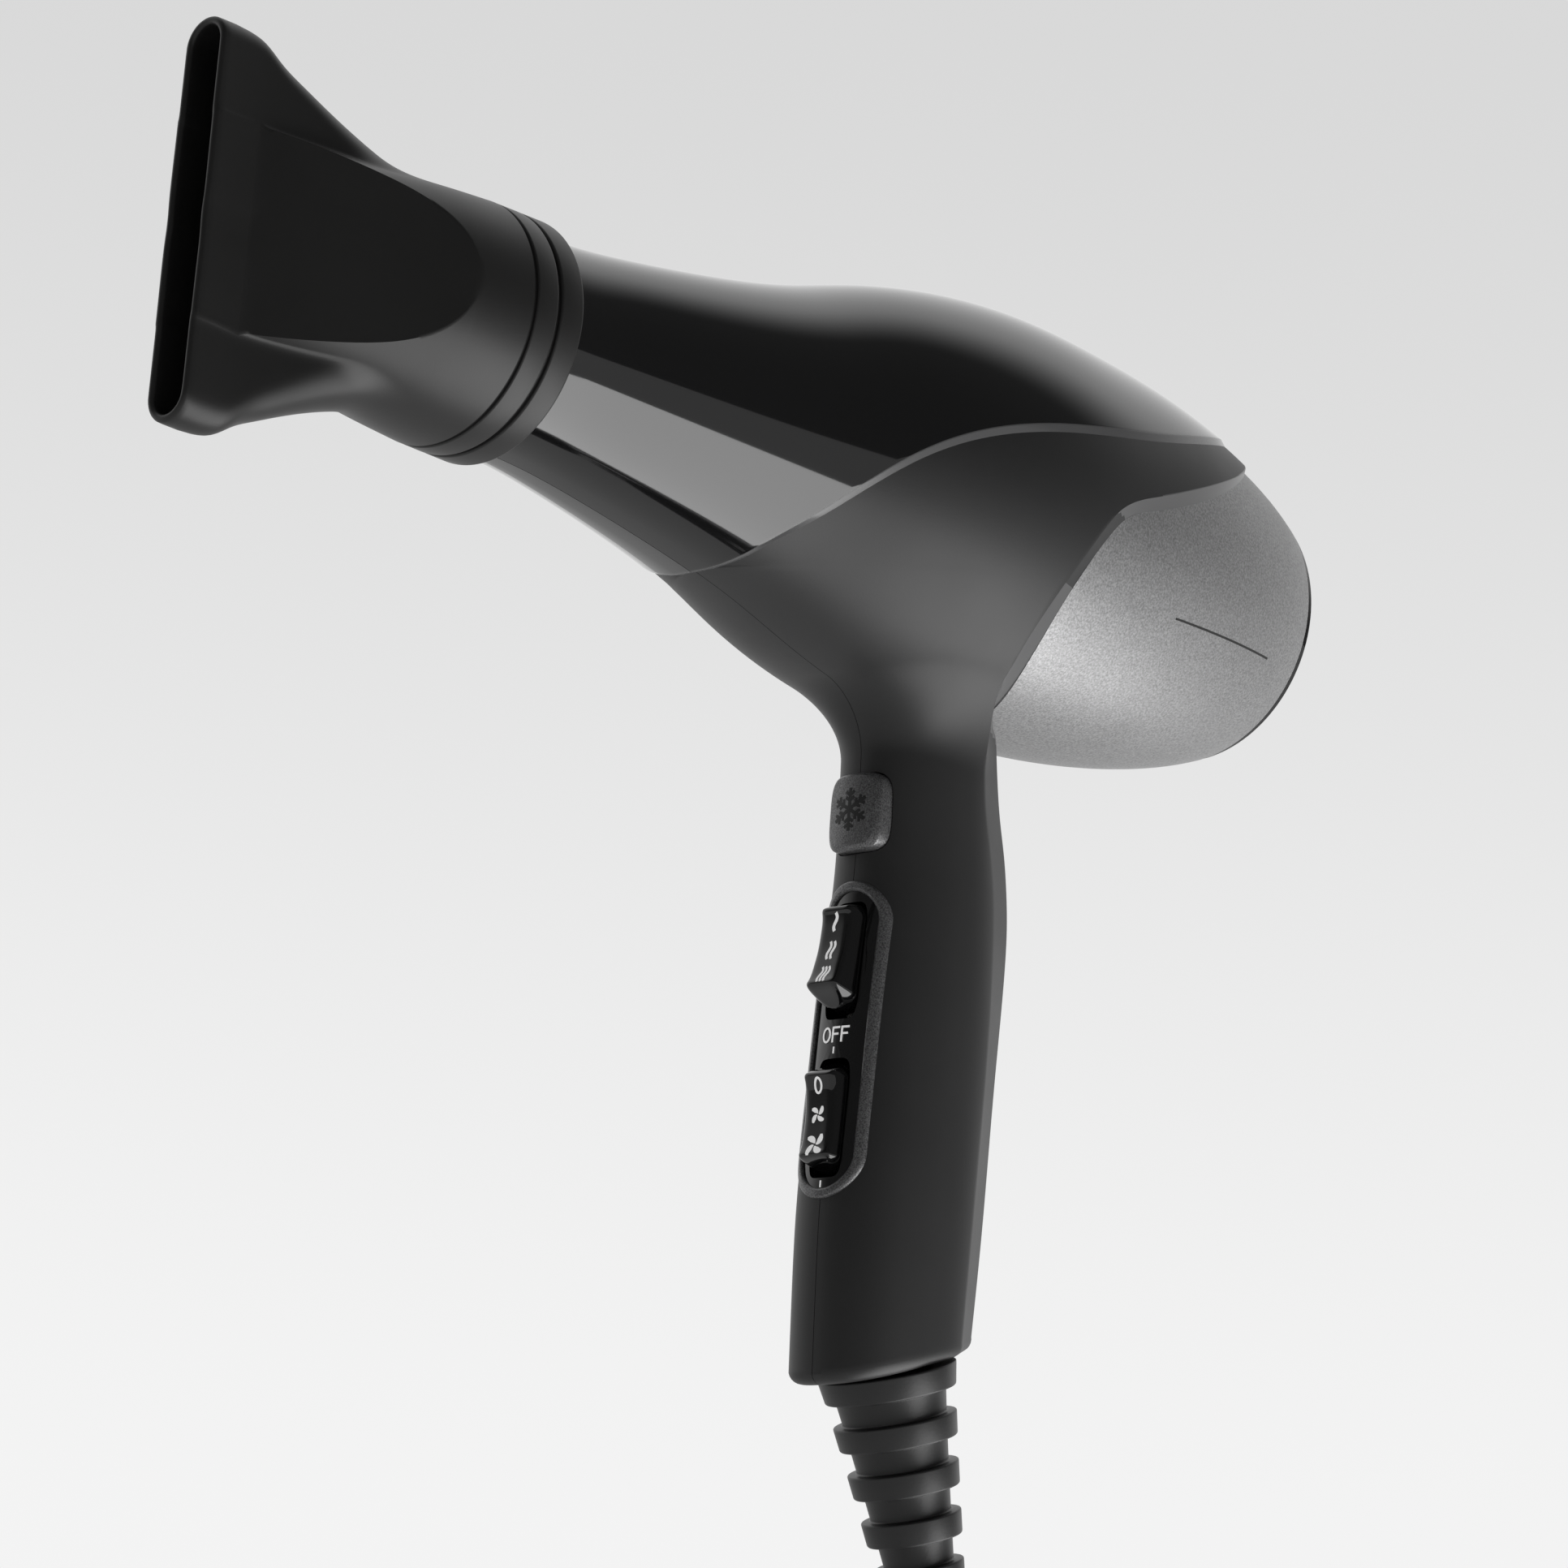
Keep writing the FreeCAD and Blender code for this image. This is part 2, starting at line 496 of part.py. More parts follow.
# ---- switches -----------------------------------------------------------------------
def rocker(z_mid, tilt):
    """A rocker with a raised round end at each side of its pivot."""
    h, face = ROCKER_HALF_HEIGHT, ROCKER_FACE
    shoulder = face - 4.2                  # depth at which the round ends begin
    ends = [Part.Arc(V(-face, 0, side * (h - 3)), V(-face + 1.2, 0, side * (h - 0.7)),
                     V(-shoulder, 0, side * h)).toShape() for side in (-1, 1)]
    front = polyline([V(-face, 0, h - 3), V(-face + 0.9, 0, 0), V(-face, 0, 3 - h)])
    back = polyline([V(-shoulder, 0, -h), V(-2, 0, -7), V(2.4, 0, -2.5), V(2.4, 0, 2.5),
                     V(-2, 0, 7), V(-shoulder, 0, h)])
    body = side_prism(Part.sortEdges(front + back + ends)[0], ROCKER_HALF_WIDTH)
    body = body.common(stadium(-20, 10, 0, ROCKER_HALF_WIDTH, h))
    body = body.cut(Part.makeCylinder(ROCKER_PIN_R + 0.05, 20, V(0, -10, 0), V(0, 1, 0)))
    body.rotate(V(0, 0, 0), V(0, 1, 0), tilt)
    body.translate(V(ROCKER_PIVOT_X, 0, z_mid))
    return body


def make_panel():
    lift, depth = 0.8, 1.6
    band = handle(-lift).cut(handle(depth))
    outline = stadium(95, 125, PANEL_Z, PANEL_HALF_WIDTH, PANEL_HALF_HEIGHT)
    inside = stadium(95, 125, PANEL_Z, PANEL_HALF_WIDTH - BEZEL_RIM, PANEL_HALF_HEIGHT - BEZEL_RIM)
    save("switch_bezel", band.common(outline).cut(inside))
    plate = handle(0.1).cut(handle(depth)).common(inside)
    for z in (HEAT_Z, SPEED_Z):
        plate = plate.cut(stadium(95, 125, z, ROCKER_HALF_WIDTH + ROCKER_GAP,
                                  ROCKER_HALF_HEIGHT + ROCKER_END_GAP))
    save("switch_plate", plate)


def make_rockers():
    save("heat_rocker", rocker(HEAT_Z, ROCKER_TILT))
    save("speed_rocker", rocker(SPEED_Z, 0))
    front, back, half_width, half_height = 120.4, 128.0, 6.2, 12.6
    cheek, outer = 1.2, 5.8
    for name, z in (("heat_switch_module", HEAT_Z), ("speed_switch_module", SPEED_Z)):
        module = box(front, back, -half_width, half_width, z - half_height, z + half_height)
        for y in (-outer, outer - cheek):
            module = module.fuse(box(ROCKER_PIVOT_X - 1.5, front, y, y + cheek, z - 3.5, z + 3.5))
        pin = Part.makeCylinder(ROCKER_PIN_R, 2 * outer - 1, V(ROCKER_PIVOT_X, 0.5 - outer, z), V(0, 1, 0))
        save(name, module.fuse(pin))


def make_button():
    half, front, depth, stem = BUTTON_HALF, BUTTON_FRONT, 6.0, 2.0
    cap = Part.makeBox(depth, 2 * half, 2 * half, V(front, -half, BUTTON_Z - half))
    upright = [e for e in cap.Edges if e.BoundBox.XLength > depth - 1]
    cap = cap.makeFillet(3.6, upright)
    face_edges = [e for e in cap.Edges if e.BoundBox.XMax < front + 0.01]
    cap = cap.makeChamfer(1.5, face_edges)
    stem_front = front + depth
    save("cold_button", cap.fuse(box(stem_front, stem_front + stem, -2.5, 2.5,
                                     BUTTON_Z - 2.5, BUTTON_Z + 2.5)))
    module_front = stem_front + stem + BUTTON_TRAVEL + 0.3
    save("cold_switch_module", box(module_front, module_front + 8, -5, 5, BUTTON_Z - 6, BUTTON_Z + 6))
    coils = [Part.makeTorus(4.4, 0.35, V(stem_front + 0.6 + 0.95 * i, 0, BUTTON_Z), V(1, 0, 0))
             for i in range(4)]
    save("button_spring", group(coils))


# ---- fasteners and wiring ------------------------------------------------------------
def screw(base, axis, length, radius, head_radius):
    """Screw with a cross slot; base is the middle of the underside of its head."""
    head_height, slot = 1.6, 0.7
    shank = Part.makeCylinder(radius, length, base, axis)
    head = Part.makeCylinder(head_radius, head_height, base - axis * head_height, axis)
    bar = Part.makeBox(2 * head_radius, slot, slot, V(-head_radius, -slot / 2, 0))
    cross = bar.fuse(Part.makeBox(slot, 2 * head_radius, slot, V(-slot / 2, -head_radius, 0)))
    cross.Placement = FreeCAD.Placement(base - axis * head_height,
                                        FreeCAD.Rotation(V(0, 0, 1), axis))
    return shank.fuse(head).cut(cross)


def make_fasteners():
    save("shell_screws", group([screw(V(x, SCREW_SEAT_Y, z), V(0, -1, 0), 16, SCREW_R, SCREW_HEAD_R)
                                for x, z in SCREWS]))
    x0, x1, y0, y1 = CLAMP_X[0], CLAMP_X[1], 3.4, 7.0
    save("cord_clamp", box(x0, x1, y0, y1, CLAMP_Z - 3, CLAMP_Z + 3))
    save("clamp_screws", group([screw(V(x, y1 + 1.6, CLAMP_Z), V(0, -1, 0), 1.6, 1.2, 2.0)
                                for x in (x0 + 2.2, x1 - 2.2)]))


def make_wiring():
    """Two leads up the handle, from the clamp to the switches, and the cord's inner end."""
    radius, side = 1.2, 3.0
    left = [(132, -side - 0.4, -160), (134, -side, -140), (133, -side, -115), (134, -side, -88),
            (133, 1 - side, -60)]
    right = [(132, side + 0.4, -160), (135, side, -140), (134, side, -115), (135, side, -88),
             (134, side - 1, -60)]
    save("wiring", group([cable([V(*p) for p in line], radius) for line in (left, right)]))
    top = relief_root - relief_axis * SLEEVE_DEPTH
    save("cord_inner", Part.makeCylinder(3.4, 14, top, -relief_axis))


# ---- strain relief, cord and plug -----------------------------------------------------
def relief_radius(t):
    """Outer radius of the rings at the fraction t of the length."""
    return RELIEF_TOP_R + (RELIEF_TIP_R - RELIEF_TOP_R) * t ** 0.85


def make_relief():
    pitch = RELIEF_LENGTH / RELIEF_RINGS
    flange_r, step = 11.2, 2.1
    outline = [(-SLEEVE_DEPTH, 0), (-SLEEVE_DEPTH, flange_r), (-6, flange_r), (-6, SLEEVE_R),
               (0, SLEEVE_R)]
    for i in range(RELIEF_RINGS):
        top, low, end = i * pitch, (i + 0.5) * pitch, (i + 1) * pitch
        r_top, r_low, r_end = [relief_radius(s / RELIEF_LENGTH) for s in (top, low, end)]
        outline += [(top, r_top), (low, r_low), (low, r_low - step),
                    (end, max(r_end - step, CORD_D / 2 + 0.8))]
    outline.append((RELIEF_LENGTH, 0))
    corners = [V(r, 0, -s) for s, r in outline]
    face = Part.Face(Part.makePolygon(corners + corners[:1]))
    solid = face.revolve(V(0, 0, 0), V(0, 0, 1), 360)
    solid.rotate(V(0, 0, 0), V(0, 1, 0), -RELIEF_TILT)
    solid.translate(relief_root)
    bottom_wall = handle(0).cut(handle(WALL)).cut(relief_bore(SLEEVE_R))
    save("strain_relief", solid.cut(bottom_wall))


def make_cord():
    save("cord_lead", cable(LEAD, CORD_D / 2))
    width = 2 * COIL_HALF_WIDTH
    base = COIL_CENTRE - V(0, COIL_HALF_WIDTH, 0)
    coil = Part.makeCylinder(COIL_OUTER, width, base, V(0, 1, 0))
    coil = coil.cut(Part.makeCylinder(COIL_INNER, width, base, V(0, 1, 0)))
    save("cord_coil", coil)
    save("cord_tail", cable(TAIL, CORD_D / 2))
    low, high, half = COIL_INNER - 0.9, COIL_OUTER + 0.2, COIL_HALF_WIDTH + 0.2
    thick, strap_half = 1.4, 6.0
    strap = box(-strap_half, strap_half, -half - thick, half + thick, low - thick, high + thick)
    strap = strap.cut(box(-strap_half - 1, strap_half + 1, -half, half, low, high))
    strap.translate(COIL_CENTRE)
    save("cord_tie", strap)


def make_plug():
    x, y = TAIL[-1].x, TAIL[-1].y
    sections = []
    for s, half_x, half_y in ((0, 6.2, 6.2), (10, 8.5, 8.0), (20, 13.5, 10.5), (30, 17.4, 12.8),
                              (PLUG_LENGTH, 17.8, 13.2)):
        sections.append(Part.Wire(Part.Ellipse(V(x, y, PLUG_TOP - s), half_x, half_y).toShape()))
    save("plug_body", Part.makeLoft(sections, True, False))
    pins = []
    for sign in (-1, 1):
        base = V(x + sign * PIN_SPACING / 2, y, PLUG_TOP - PLUG_LENGTH)
        pin = Part.makeCylinder(PIN_R, PIN_LENGTH, base, V(0, 0, -1))
        tip = [e for e in pin.Edges if e.BoundBox.ZMax < base.z - PIN_LENGTH + 0.01]
        pins.append(pin.makeFillet(PIN_TIP_ROUND, tip))
    save("plug_pins", group(pins))


os.makedirs("parts", exist_ok=True)
make_covers()
make_shells()
make_rear()
make_outlet()
make_nozzle()
make_heater()
make_motor()
make_fan()
make_intake()
make_panel()
make_rockers()
make_button()
make_fasteners()
make_wiring()
make_relief()
make_cord()
make_plug()
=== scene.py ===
"""Looks of the hair dryer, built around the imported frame.

Shapes are worked out in the drawing frame of the part, in millimetres: x runs along the
barrel from the rear edge of the nozzle collar to the air intake, z is up from the barrel
axis and y = 0 is the plane of symmetry. to_row() turns them into the frame's metres.
"""
import json
import math

import bmesh
import bpy
import numpy as np
from mathutils import Matrix, Vector
from mathutils.kdtree import KDTree


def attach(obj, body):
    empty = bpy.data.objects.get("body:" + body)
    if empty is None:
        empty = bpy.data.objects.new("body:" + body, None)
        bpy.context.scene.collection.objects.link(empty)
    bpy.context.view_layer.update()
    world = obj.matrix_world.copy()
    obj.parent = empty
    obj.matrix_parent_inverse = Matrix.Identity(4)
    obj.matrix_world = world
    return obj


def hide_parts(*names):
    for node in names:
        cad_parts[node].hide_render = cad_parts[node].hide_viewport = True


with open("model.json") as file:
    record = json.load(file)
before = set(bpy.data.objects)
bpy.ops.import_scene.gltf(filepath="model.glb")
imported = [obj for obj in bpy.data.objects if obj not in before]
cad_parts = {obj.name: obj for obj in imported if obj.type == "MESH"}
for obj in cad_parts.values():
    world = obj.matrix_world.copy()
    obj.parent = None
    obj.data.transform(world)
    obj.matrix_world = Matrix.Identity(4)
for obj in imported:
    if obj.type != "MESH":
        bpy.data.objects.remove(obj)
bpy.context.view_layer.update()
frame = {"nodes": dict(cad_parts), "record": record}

# ---- sizes, in mm of the drawing frame ------------------------------------------------
MM = 0.001
GRIP = np.array((131.0, 0.0, -125.0))  # drawing position of the frame's origin

BARREL = [(-2, 22.4), (10, 23.0), (25, 24.8), (40, 27.2), (55, 30.0), (72, 34.1), (90, 39.7),
          (110, 44.3), (130, 46.3), (150, 46.0), (170, 44.6), (187, 42.3), (203, 38.9),
          (213, 36.0), (221, 33.0)]
MATTE_DROP, REAR_DROP = 0.7, 2.0
COVER_WALL, SHELL_WALL = 1.7, 1.8
COVER_FRONT = -2.0  # front end of the covers
SEAM = 0.07  # half the gap between left and right mouldings

# handle: (z, front x, rear x, half width) and the power of its superellipse section
HANDLE = [(-30, 112.0, 149.0, 13.0), (-50, 112.2, 148.4, 13.0), (-62, 112.6, 149.0, 13.0),
          (-80, 112.8, 152.0, 13.3), (-100, 111.6, 152.8, 14.2), (-125, 110.4, 152.2, 14.8),
          (-150, 109.6, 151.2, 15.0), (-170, 110.2, 150.3, 14.8), (-196, 111.4, 149.6, 14.4)]
HANDLE_POWER = 2.4
NECK_FILLET = 12.0
FOOT_X, FOOT_Z, FOOT_TILT = 131.0, -180.6, math.radians(19.0)
FOOT_ROUND = 2.6

# lower edge of the gloss covers in the side view, from the underside to the tail
COVER_EDGE = [(60.5, -31.4), (61.4, -30.5), (63, -28), (68, -22), (74, -15.5), (86, -5),
              (105, 4.5), (124, 10), (149, 16), (182, 26.5), (204, 35.5), (209, 38.2)]
COVER_BEVEL = 2.0

# bevelled rear edge of the matte shells, side view, from the tail to the foot:
# (outer x, outer z, inner x, inner z, inner half width or 0 where it lies on the barrel)
SHELL_BAND = [(212.0, 36.6, 216.0, 36.6, 0), (207, 32.9, 209, 31.8, 0), (195, 24.9, 197, 24.3, 0),
              (173, 13.5, 174, 10.8, 0), (149, 3.2, 150, 0.3, 0), (137, -3.1, 140, -4.6, 0),
              (130.6, -12, 134, -12.8, 0), (126.4, -22, 130.6, -22, 0),
              (125.8, -33, 131.5, -34.8, 0), (130.3, -41.7, 137.6, -43, 9.8),
              (136, -51, 144.7, -48, 8.6), (138, -62, 147.0, -61, 8.5), (141, -72, 149.6, -71, 8.5),
              (142.7, -80, 151.2, -80, 8.5), (143.2, -90, 151.9, -89, 8.5),
              (142.6, -117, 151.0, -117, 8.5), (141, -148, 150.0, -148, 8.5),
              (140.2, -174.7, 148.8, -171.8, 8.4)]
SPINE_TOP, SPINE_CROWN = -42.5, 0.8
BAND_STEP = (-20.5, -3.7, -47.0)  # darker between the first two heights and below the third; elsewhere the band carries the painted highlight grey
TUCK = 0.15  # how far inner edges sink below what lies beside them
CUT_FROM = 95.0  # front end of the cutters for the switch openings

# nozzle: outlines against x
NOZZLE_BACK, NOZZLE_FRONT, NOZZLE_WALL = -12.9, -78.0, 1.6
ROUND_R = [(-80, 20.4), (-66, 21.0), (-45, 21.9), (-24, 23.9), (-15, 24.6)]
FAN_HALF_HEIGHT = [(-79, 39.4), (-69, 39.35), (-66.6, 38.7), (-63, 36.4), (-57, 33.3), (-52, 31.0),
                   (-42, 26.9), (-32, 23.9), (-24, 22.6), (-15, 22.0)]
FAN_HALF_WIDTH = [(-79, 5.6), (-67, 5.6), (-58, 6.8), (-45, 9.4), (-30, 12.4), (-15, 15.0)]
LIP_HALF_WIDTH, LIP_CREASE = 5.65, -67.4
ROOT_X, ROOT_WALL = -20.0, 2.0  # the nozzle is thicker behind here
FAN_BLEND = 2.4  # how softly the fan grows out of the round part
PANEL_HALF_WIDTH = [(-80, 1.6), (LIP_CREASE, LIP_HALF_WIDTH), (-58.5, 9.0), (-46.6, 13.4), (-34.2, 18.8),
                    (-25.5, 23.9), (-15, 31.0)]

# strain relief and cord
RELIEF_TILT = math.radians(20.0)
RELIEF_LENGTH, RELIEF_RINGS = 60.0, 6
RELIEF_TOP_R, RELIEF_TIP_R, RELIEF_GROOVE = 14.4, 7.2, 2.1
CORD_D = 8.0
COIL_CENTRE = (124.3, -318.0)
COIL_R, COIL_INNER_R = 47.7, 39.5
COIL_STEPS = 16
TAIL_Y = 4.0
PLUG_X, PLUG_TOP = 172.0, -378.0

# switches
PANEL_Z, PANEL_HALF_HEIGHT, PANEL_HALF = -116.0, 33.4, 9.1
BEZEL_RIM = 2.2
BUTTON_Z, BUTTON_FRONT = -68.3, 109.9
BUTTON_FACE = (6.0, 7.4)  # half width and half height of its face
ROCKER_PIVOT_X, HEAT_Z, SPEED_Z = 117.0, -99.6, -132.6
HEAT_TILT = math.radians(11.0)
ROCKER_HALF_WIDTH, ROCKER_HALF_LENGTH, ROCKER_BASE = 4.15, 11.6, 1.5
MARK_TOP, MARK_BASE = 0.05, -0.06  # faces of a mark, against the surface it is on

relief_axis = np.array((math.sin(RELIEF_TILT), 0.0, -math.cos(RELIEF_TILT)))
relief_root = np.array((FOOT_X + 2.0, 0.0, FOOT_Z))
relief_tip = relief_root + relief_axis * RELIEF_LENGTH


def to_row(points):
    """Drawing millimetres to the frame's metres."""
    return (np.asarray(points, float) - GRIP) * MM


# ---- curves ---------------------------------------------------------------------------
class Curve:
    """Natural cubic spline of values over rising knots."""

    def __init__(self, knots, values):
        t, v = np.asarray(knots, float), np.asarray(values, float)
        v = v.reshape(len(t), -1)
        h, n = np.diff(t), len(t)
        system, right = np.eye(n), np.zeros_like(v)
        for i in range(1, n - 1):
            system[i, i - 1:i + 2] = h[i - 1], 2 * (h[i - 1] + h[i]), h[i]
            right[i] = 6 * ((v[i + 1] - v[i]) / h[i] - (v[i] - v[i - 1]) / h[i - 1])
        self.t, self.v, self.h, self.m = t, v, h, np.linalg.solve(system, right)

    def at(self, s):
        s = np.asarray(s, float)
        i = np.clip(np.searchsorted(self.t, s, side="right") - 1, 0, len(self.h) - 1)
        h = self.h[i][..., None]
        a, b = (self.t[i + 1] - s)[..., None] / h, (s - self.t[i])[..., None] / h
        m0, m1 = self.m[i], self.m[i + 1]
        value = a * self.v[i] + b * self.v[i + 1] + ((a ** 3 - a) * m0 + (b ** 3 - b) * m1) * h * h / 6
        return value[..., 0] if self.v.shape[1] == 1 else value


def over_x(pairs):
    return Curve([p[0] for p in pairs], [p[1] for p in pairs])


def lengths(points):
    steps = np.linalg.norm(np.diff(points, axis=0), axis=1)
    return np.concatenate(([0.0], np.cumsum(steps)))


def through(points):
    points = np.asarray(points, float)
    return Curve(lengths(points), points)


def along(points, count):
    """The same line as count points at even distances."""
    points = np.asarray(points, float)
    run = lengths(points)
    even = np.linspace(0, run[-1], count)
    return np.stack([np.interp(even, run, points[:, k]) for k in range(points.shape[1])], axis=1)


barrel_r = over_x(BARREL)
handle_curve = Curve([-row[0] for row in HANDLE], [row[1:] for row in HANDLE])
round_r = over_x(ROUND_R)
fan_height = over_x(FAN_HALF_HEIGHT)
fan_width = over_x(FAN_HALF_WIDTH)
panel_width = over_x(PANEL_HALF_WIDTH)


# ---- materials ------------------------------------------------------------------------
def noise(tree, place, scale, detail):
    """Noise over a piece's own coordinates."""
    texture = tree.nodes.new("ShaderNodeTexNoise")
    texture.inputs["Scale"].default_value = scale
    texture.inputs["Detail"].default_value = detail
    tree.links.new(place.outputs["Object"], texture.inputs["Vector"])
    return texture.outputs["Fac"]


def levels(tree, value, low, high, at_low, at_high, form="LINEAR"):
    """Value at_low up to low, at_high from high on, and a ramp between."""
    ramp = tree.nodes.new("ShaderNodeMapRange")
    ramp.interpolation_type = form
    numbers = {"From Min": low, "From Max": high, "To Min": at_low, "To Max": at_high}
    for socket, number in numbers.items():
        ramp.inputs[socket].default_value = number
    tree.links.new(value, ramp.inputs["Value"])
    return ramp.outputs["Result"]


def finish_material(name, colour, roughness, metallic=0.0, grain=0.0, grain_scale=900.0, tint=0.06,
                    bump=0.0, bump_scale=1500.0, coat=0.0, coat_roughness=0.05, specular=0.5,
                    rough_spread=0.05, glow=0.0):
    """Moulded, painted or metal surface with fine variation of colour, roughness and height."""
    material = bpy.data.materials.new(name)
    material.use_nodes = True
    tree = material.node_tree
    nodes, links = tree.nodes, tree.links
    shader = nodes["Principled BSDF"]
    numbers = {"Metallic": metallic, "Specular IOR Level": specular, "Coat Weight": coat,
               "Coat Roughness": coat_roughness}
    for socket, number in numbers.items():
        shader.inputs[socket].default_value = number
    place = nodes.new("ShaderNodeTexCoord")

    cloud = noise(tree, place, 60.0, 4.0)

    blend = nodes.new("ShaderNodeMix")
    blend.data_type = "RGBA"
    blend.inputs["A"].default_value = (*[c * (1 - tint) for c in colour], 1)
    blend.inputs["B"].default_value = (*[c * (1 + tint) for c in colour], 1)
    links.new(cloud, blend.inputs["Factor"])
    colour_out = blend.outputs["Result"]

    if grain:
        speck = levels(tree, noise(tree, place, grain_scale, 2.0), 0.3, 0.7, 1 - grain, 1 + grain)
        scaled = nodes.new("ShaderNodeVectorMath")
        scaled.operation = "SCALE"
        links.new(colour_out, scaled.inputs[0])
        links.new(speck, scaled.inputs["Scale"])
        colour_out = scaled.outputs["Vector"]
    links.new(colour_out, shader.inputs["Base Color"])

    rough = levels(tree, cloud, 0.0, 1.0, max(0.02, roughness - rough_spread), roughness + rough_spread)
    links.new(rough, shader.inputs["Roughness"])

    # glow is emission: on the white marks it is painted light, on the floor it keeps the floor evenly
    # bright
    if glow:
        shader.inputs["Emission Color"].default_value = (*colour, 1)
        shader.inputs["Emission Strength"].default_value = glow
    if bump:
        fine = noise(tree, place, bump_scale, 3.0)
        relief = nodes.new("ShaderNodeBump")
        relief.inputs["Strength"].default_value = 1.0
        relief.inputs["Distance"].default_value = bump * MM
        links.new(fine, relief.inputs["Height"])
        links.new(relief.outputs["Normal"], shader.inputs["Normal"])
    return material


gloss_black = finish_material("gloss_black", (0.0035, 0.0035, 0.0037), 0.07, rough_spread=0.01,
                              coat=0.4, coat_roughness=0.03)
matte_black = finish_material("matte_black", (0.019, 0.019, 0.0192), 0.46, tint=0.08, bump=0.012,
                              bump_scale=2600.0, specular=0.45)
# the shell's rear bevel is the same moulded black as the shell; this light grey base is a painted
# highlight for the light falling on the bevel, and edge_dark is its plain dark copy, close to the shell's
# own black
edge_lit_grey = finish_material("edge_lit_grey", (0.09, 0.09, 0.091), 0.3, tint=0.04)
edge_dark = finish_material("edge_dark", (0.024, 0.024, 0.0245), 0.45, tint=0.06)
# the cover's bevel is the same gloss black as the cover; this light grey base is a painted reflection of
# the bright surroundings on it
bevel_reflection_grey = finish_material("bevel_reflection_grey", (0.075, 0.075, 0.076), 0.16, rough_spread=0.02, tint=0.03)
rear_silver = finish_material("rear_silver", (0.28, 0.28, 0.282), 0.42, metallic=0.55, grain=0.3,
                              grain_scale=2200.0, bump=0.02, bump_scale=2400.0)
nozzle_black = finish_material("nozzle_black", (0.014, 0.0138, 0.0136), 0.42, tint=0.06, bump=0.01,
                               bump_scale=3000.0, specular=0.45)
sparkle_grey = finish_material("sparkle_grey", (0.14, 0.14, 0.142), 0.34, metallic=0.5, grain=0.6,
                               grain_scale=3500.0, bump=0.02, bump_scale=3200.0)
# the white print glows a little: painted light that makes the marks brighter than the lamps alone would,
# though they are no lamp
mark_white_glowing = finish_material("mark_white_glowing", (0.78, 0.78, 0.78), 0.5, tint=0.03, glow=0.4)
mark_black = finish_material("mark_black", (0.006, 0.006, 0.006), 0.5, tint=0.1)
relief_rubber = finish_material("relief_rubber", (0.017, 0.017, 0.0172), 0.4, tint=0.1, bump=0.02,
                                bump_scale=1800.0, specular=0.45)
heat_plastic = finish_material("heat_plastic", (0.02, 0.02, 0.02), 0.5, bump=0.02)
steel = finish_material("steel", (0.55, 0.55, 0.56), 0.3, metallic=1.0, bump=0.01)
brass = finish_material("brass", (0.62, 0.45, 0.19), 0.3, metallic=1.0, bump=0.01)
pin_metal = finish_material("pin_metal", (0.72, 0.71, 0.69), 0.18, metallic=1.0, bump=0.006)
mica = finish_material("mica", (0.36, 0.30, 0.22), 0.45, grain=0.3, tint=0.2)
heater_wire = finish_material("heater_wire", (0.28, 0.26, 0.24), 0.4, metallic=1.0, bump=0.01)
magnet = finish_material("magnet", (0.05, 0.05, 0.052), 0.5, grain=0.3)
laminate = finish_material("laminate", (0.32, 0.18, 0.10), 0.4, metallic=0.6, grain=0.25)
board = finish_material("board", (0.05, 0.16, 0.07), 0.45, grain=0.15)
rubber = finish_material("rubber", (0.02, 0.02, 0.02), 0.6, bump=0.03)
cord_pvc = finish_material("cord_pvc", (0.016, 0.016, 0.0162), 0.42, bump=0.012, bump_scale=1600.0)
wire_sheath = finish_material("wire_sheath", (0.30, 0.04, 0.03), 0.4, bump=0.01)
switch_white = finish_material("switch_white", (0.62, 0.61, 0.58), 0.4, bump=0.01)

SLOT_MATERIAL = {
    "gloss_black": gloss_black, "matte_black": matte_black, "rear_silver": rear_silver,
    "nozzle_black": nozzle_black, "heat_plastic": heat_plastic, "steel": steel, "brass": brass,
    "mica": mica, "heater_wire": heater_wire, "magnet": magnet, "laminate": laminate,
    "board": board, "rubber": rubber, "cord": cord_pvc, "tie": rubber,
    "wire_sheath": wire_sheath, "pin_metal": pin_metal, "switch_white": switch_white}


def dress_nodes():
    """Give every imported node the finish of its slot."""
    slots = {row["node"]: row["material_slot"] for row in frame["record"]["subparts"]}
    for name, obj in frame["nodes"].items():
        for holder in obj.material_slots:
            holder.material = SLOT_MATERIAL[slots[name]]


# ---- meshes ---------------------------------------------------------------------------
def grid_faces(rows, columns, close_rows=False, close_columns=False):
    faces = []
    for i in range(rows if close_rows else rows - 1):
        for j in range(columns if close_columns else columns - 1):
            k, l = (i + 1) % rows, (j + 1) % columns
            faces.append((i * columns + j, i * columns + l, k * columns + l, k * columns + j))
    return faces


def shade(obj, sharp):
    obj.data.shade_smooth()
    obj.data.set_sharp_from_angle(angle=math.radians(sharp))


def tidy(mesh, merge=0.002):
    """Join doubled corners and turn all faces outward."""
    work = bmesh.new()
    work.from_mesh(mesh)
    bmesh.ops.remove_doubles(work, verts=work.verts, dist=merge * MM)
    bmesh.ops.dissolve_degenerate(work, edges=work.edges, dist=merge * MM)
    bmesh.ops.recalc_face_normals(work, faces=work.faces)
    work.to_mesh(mesh)
    work.free()


def link(obj):
    bpy.context.scene.collection.objects.link(obj)


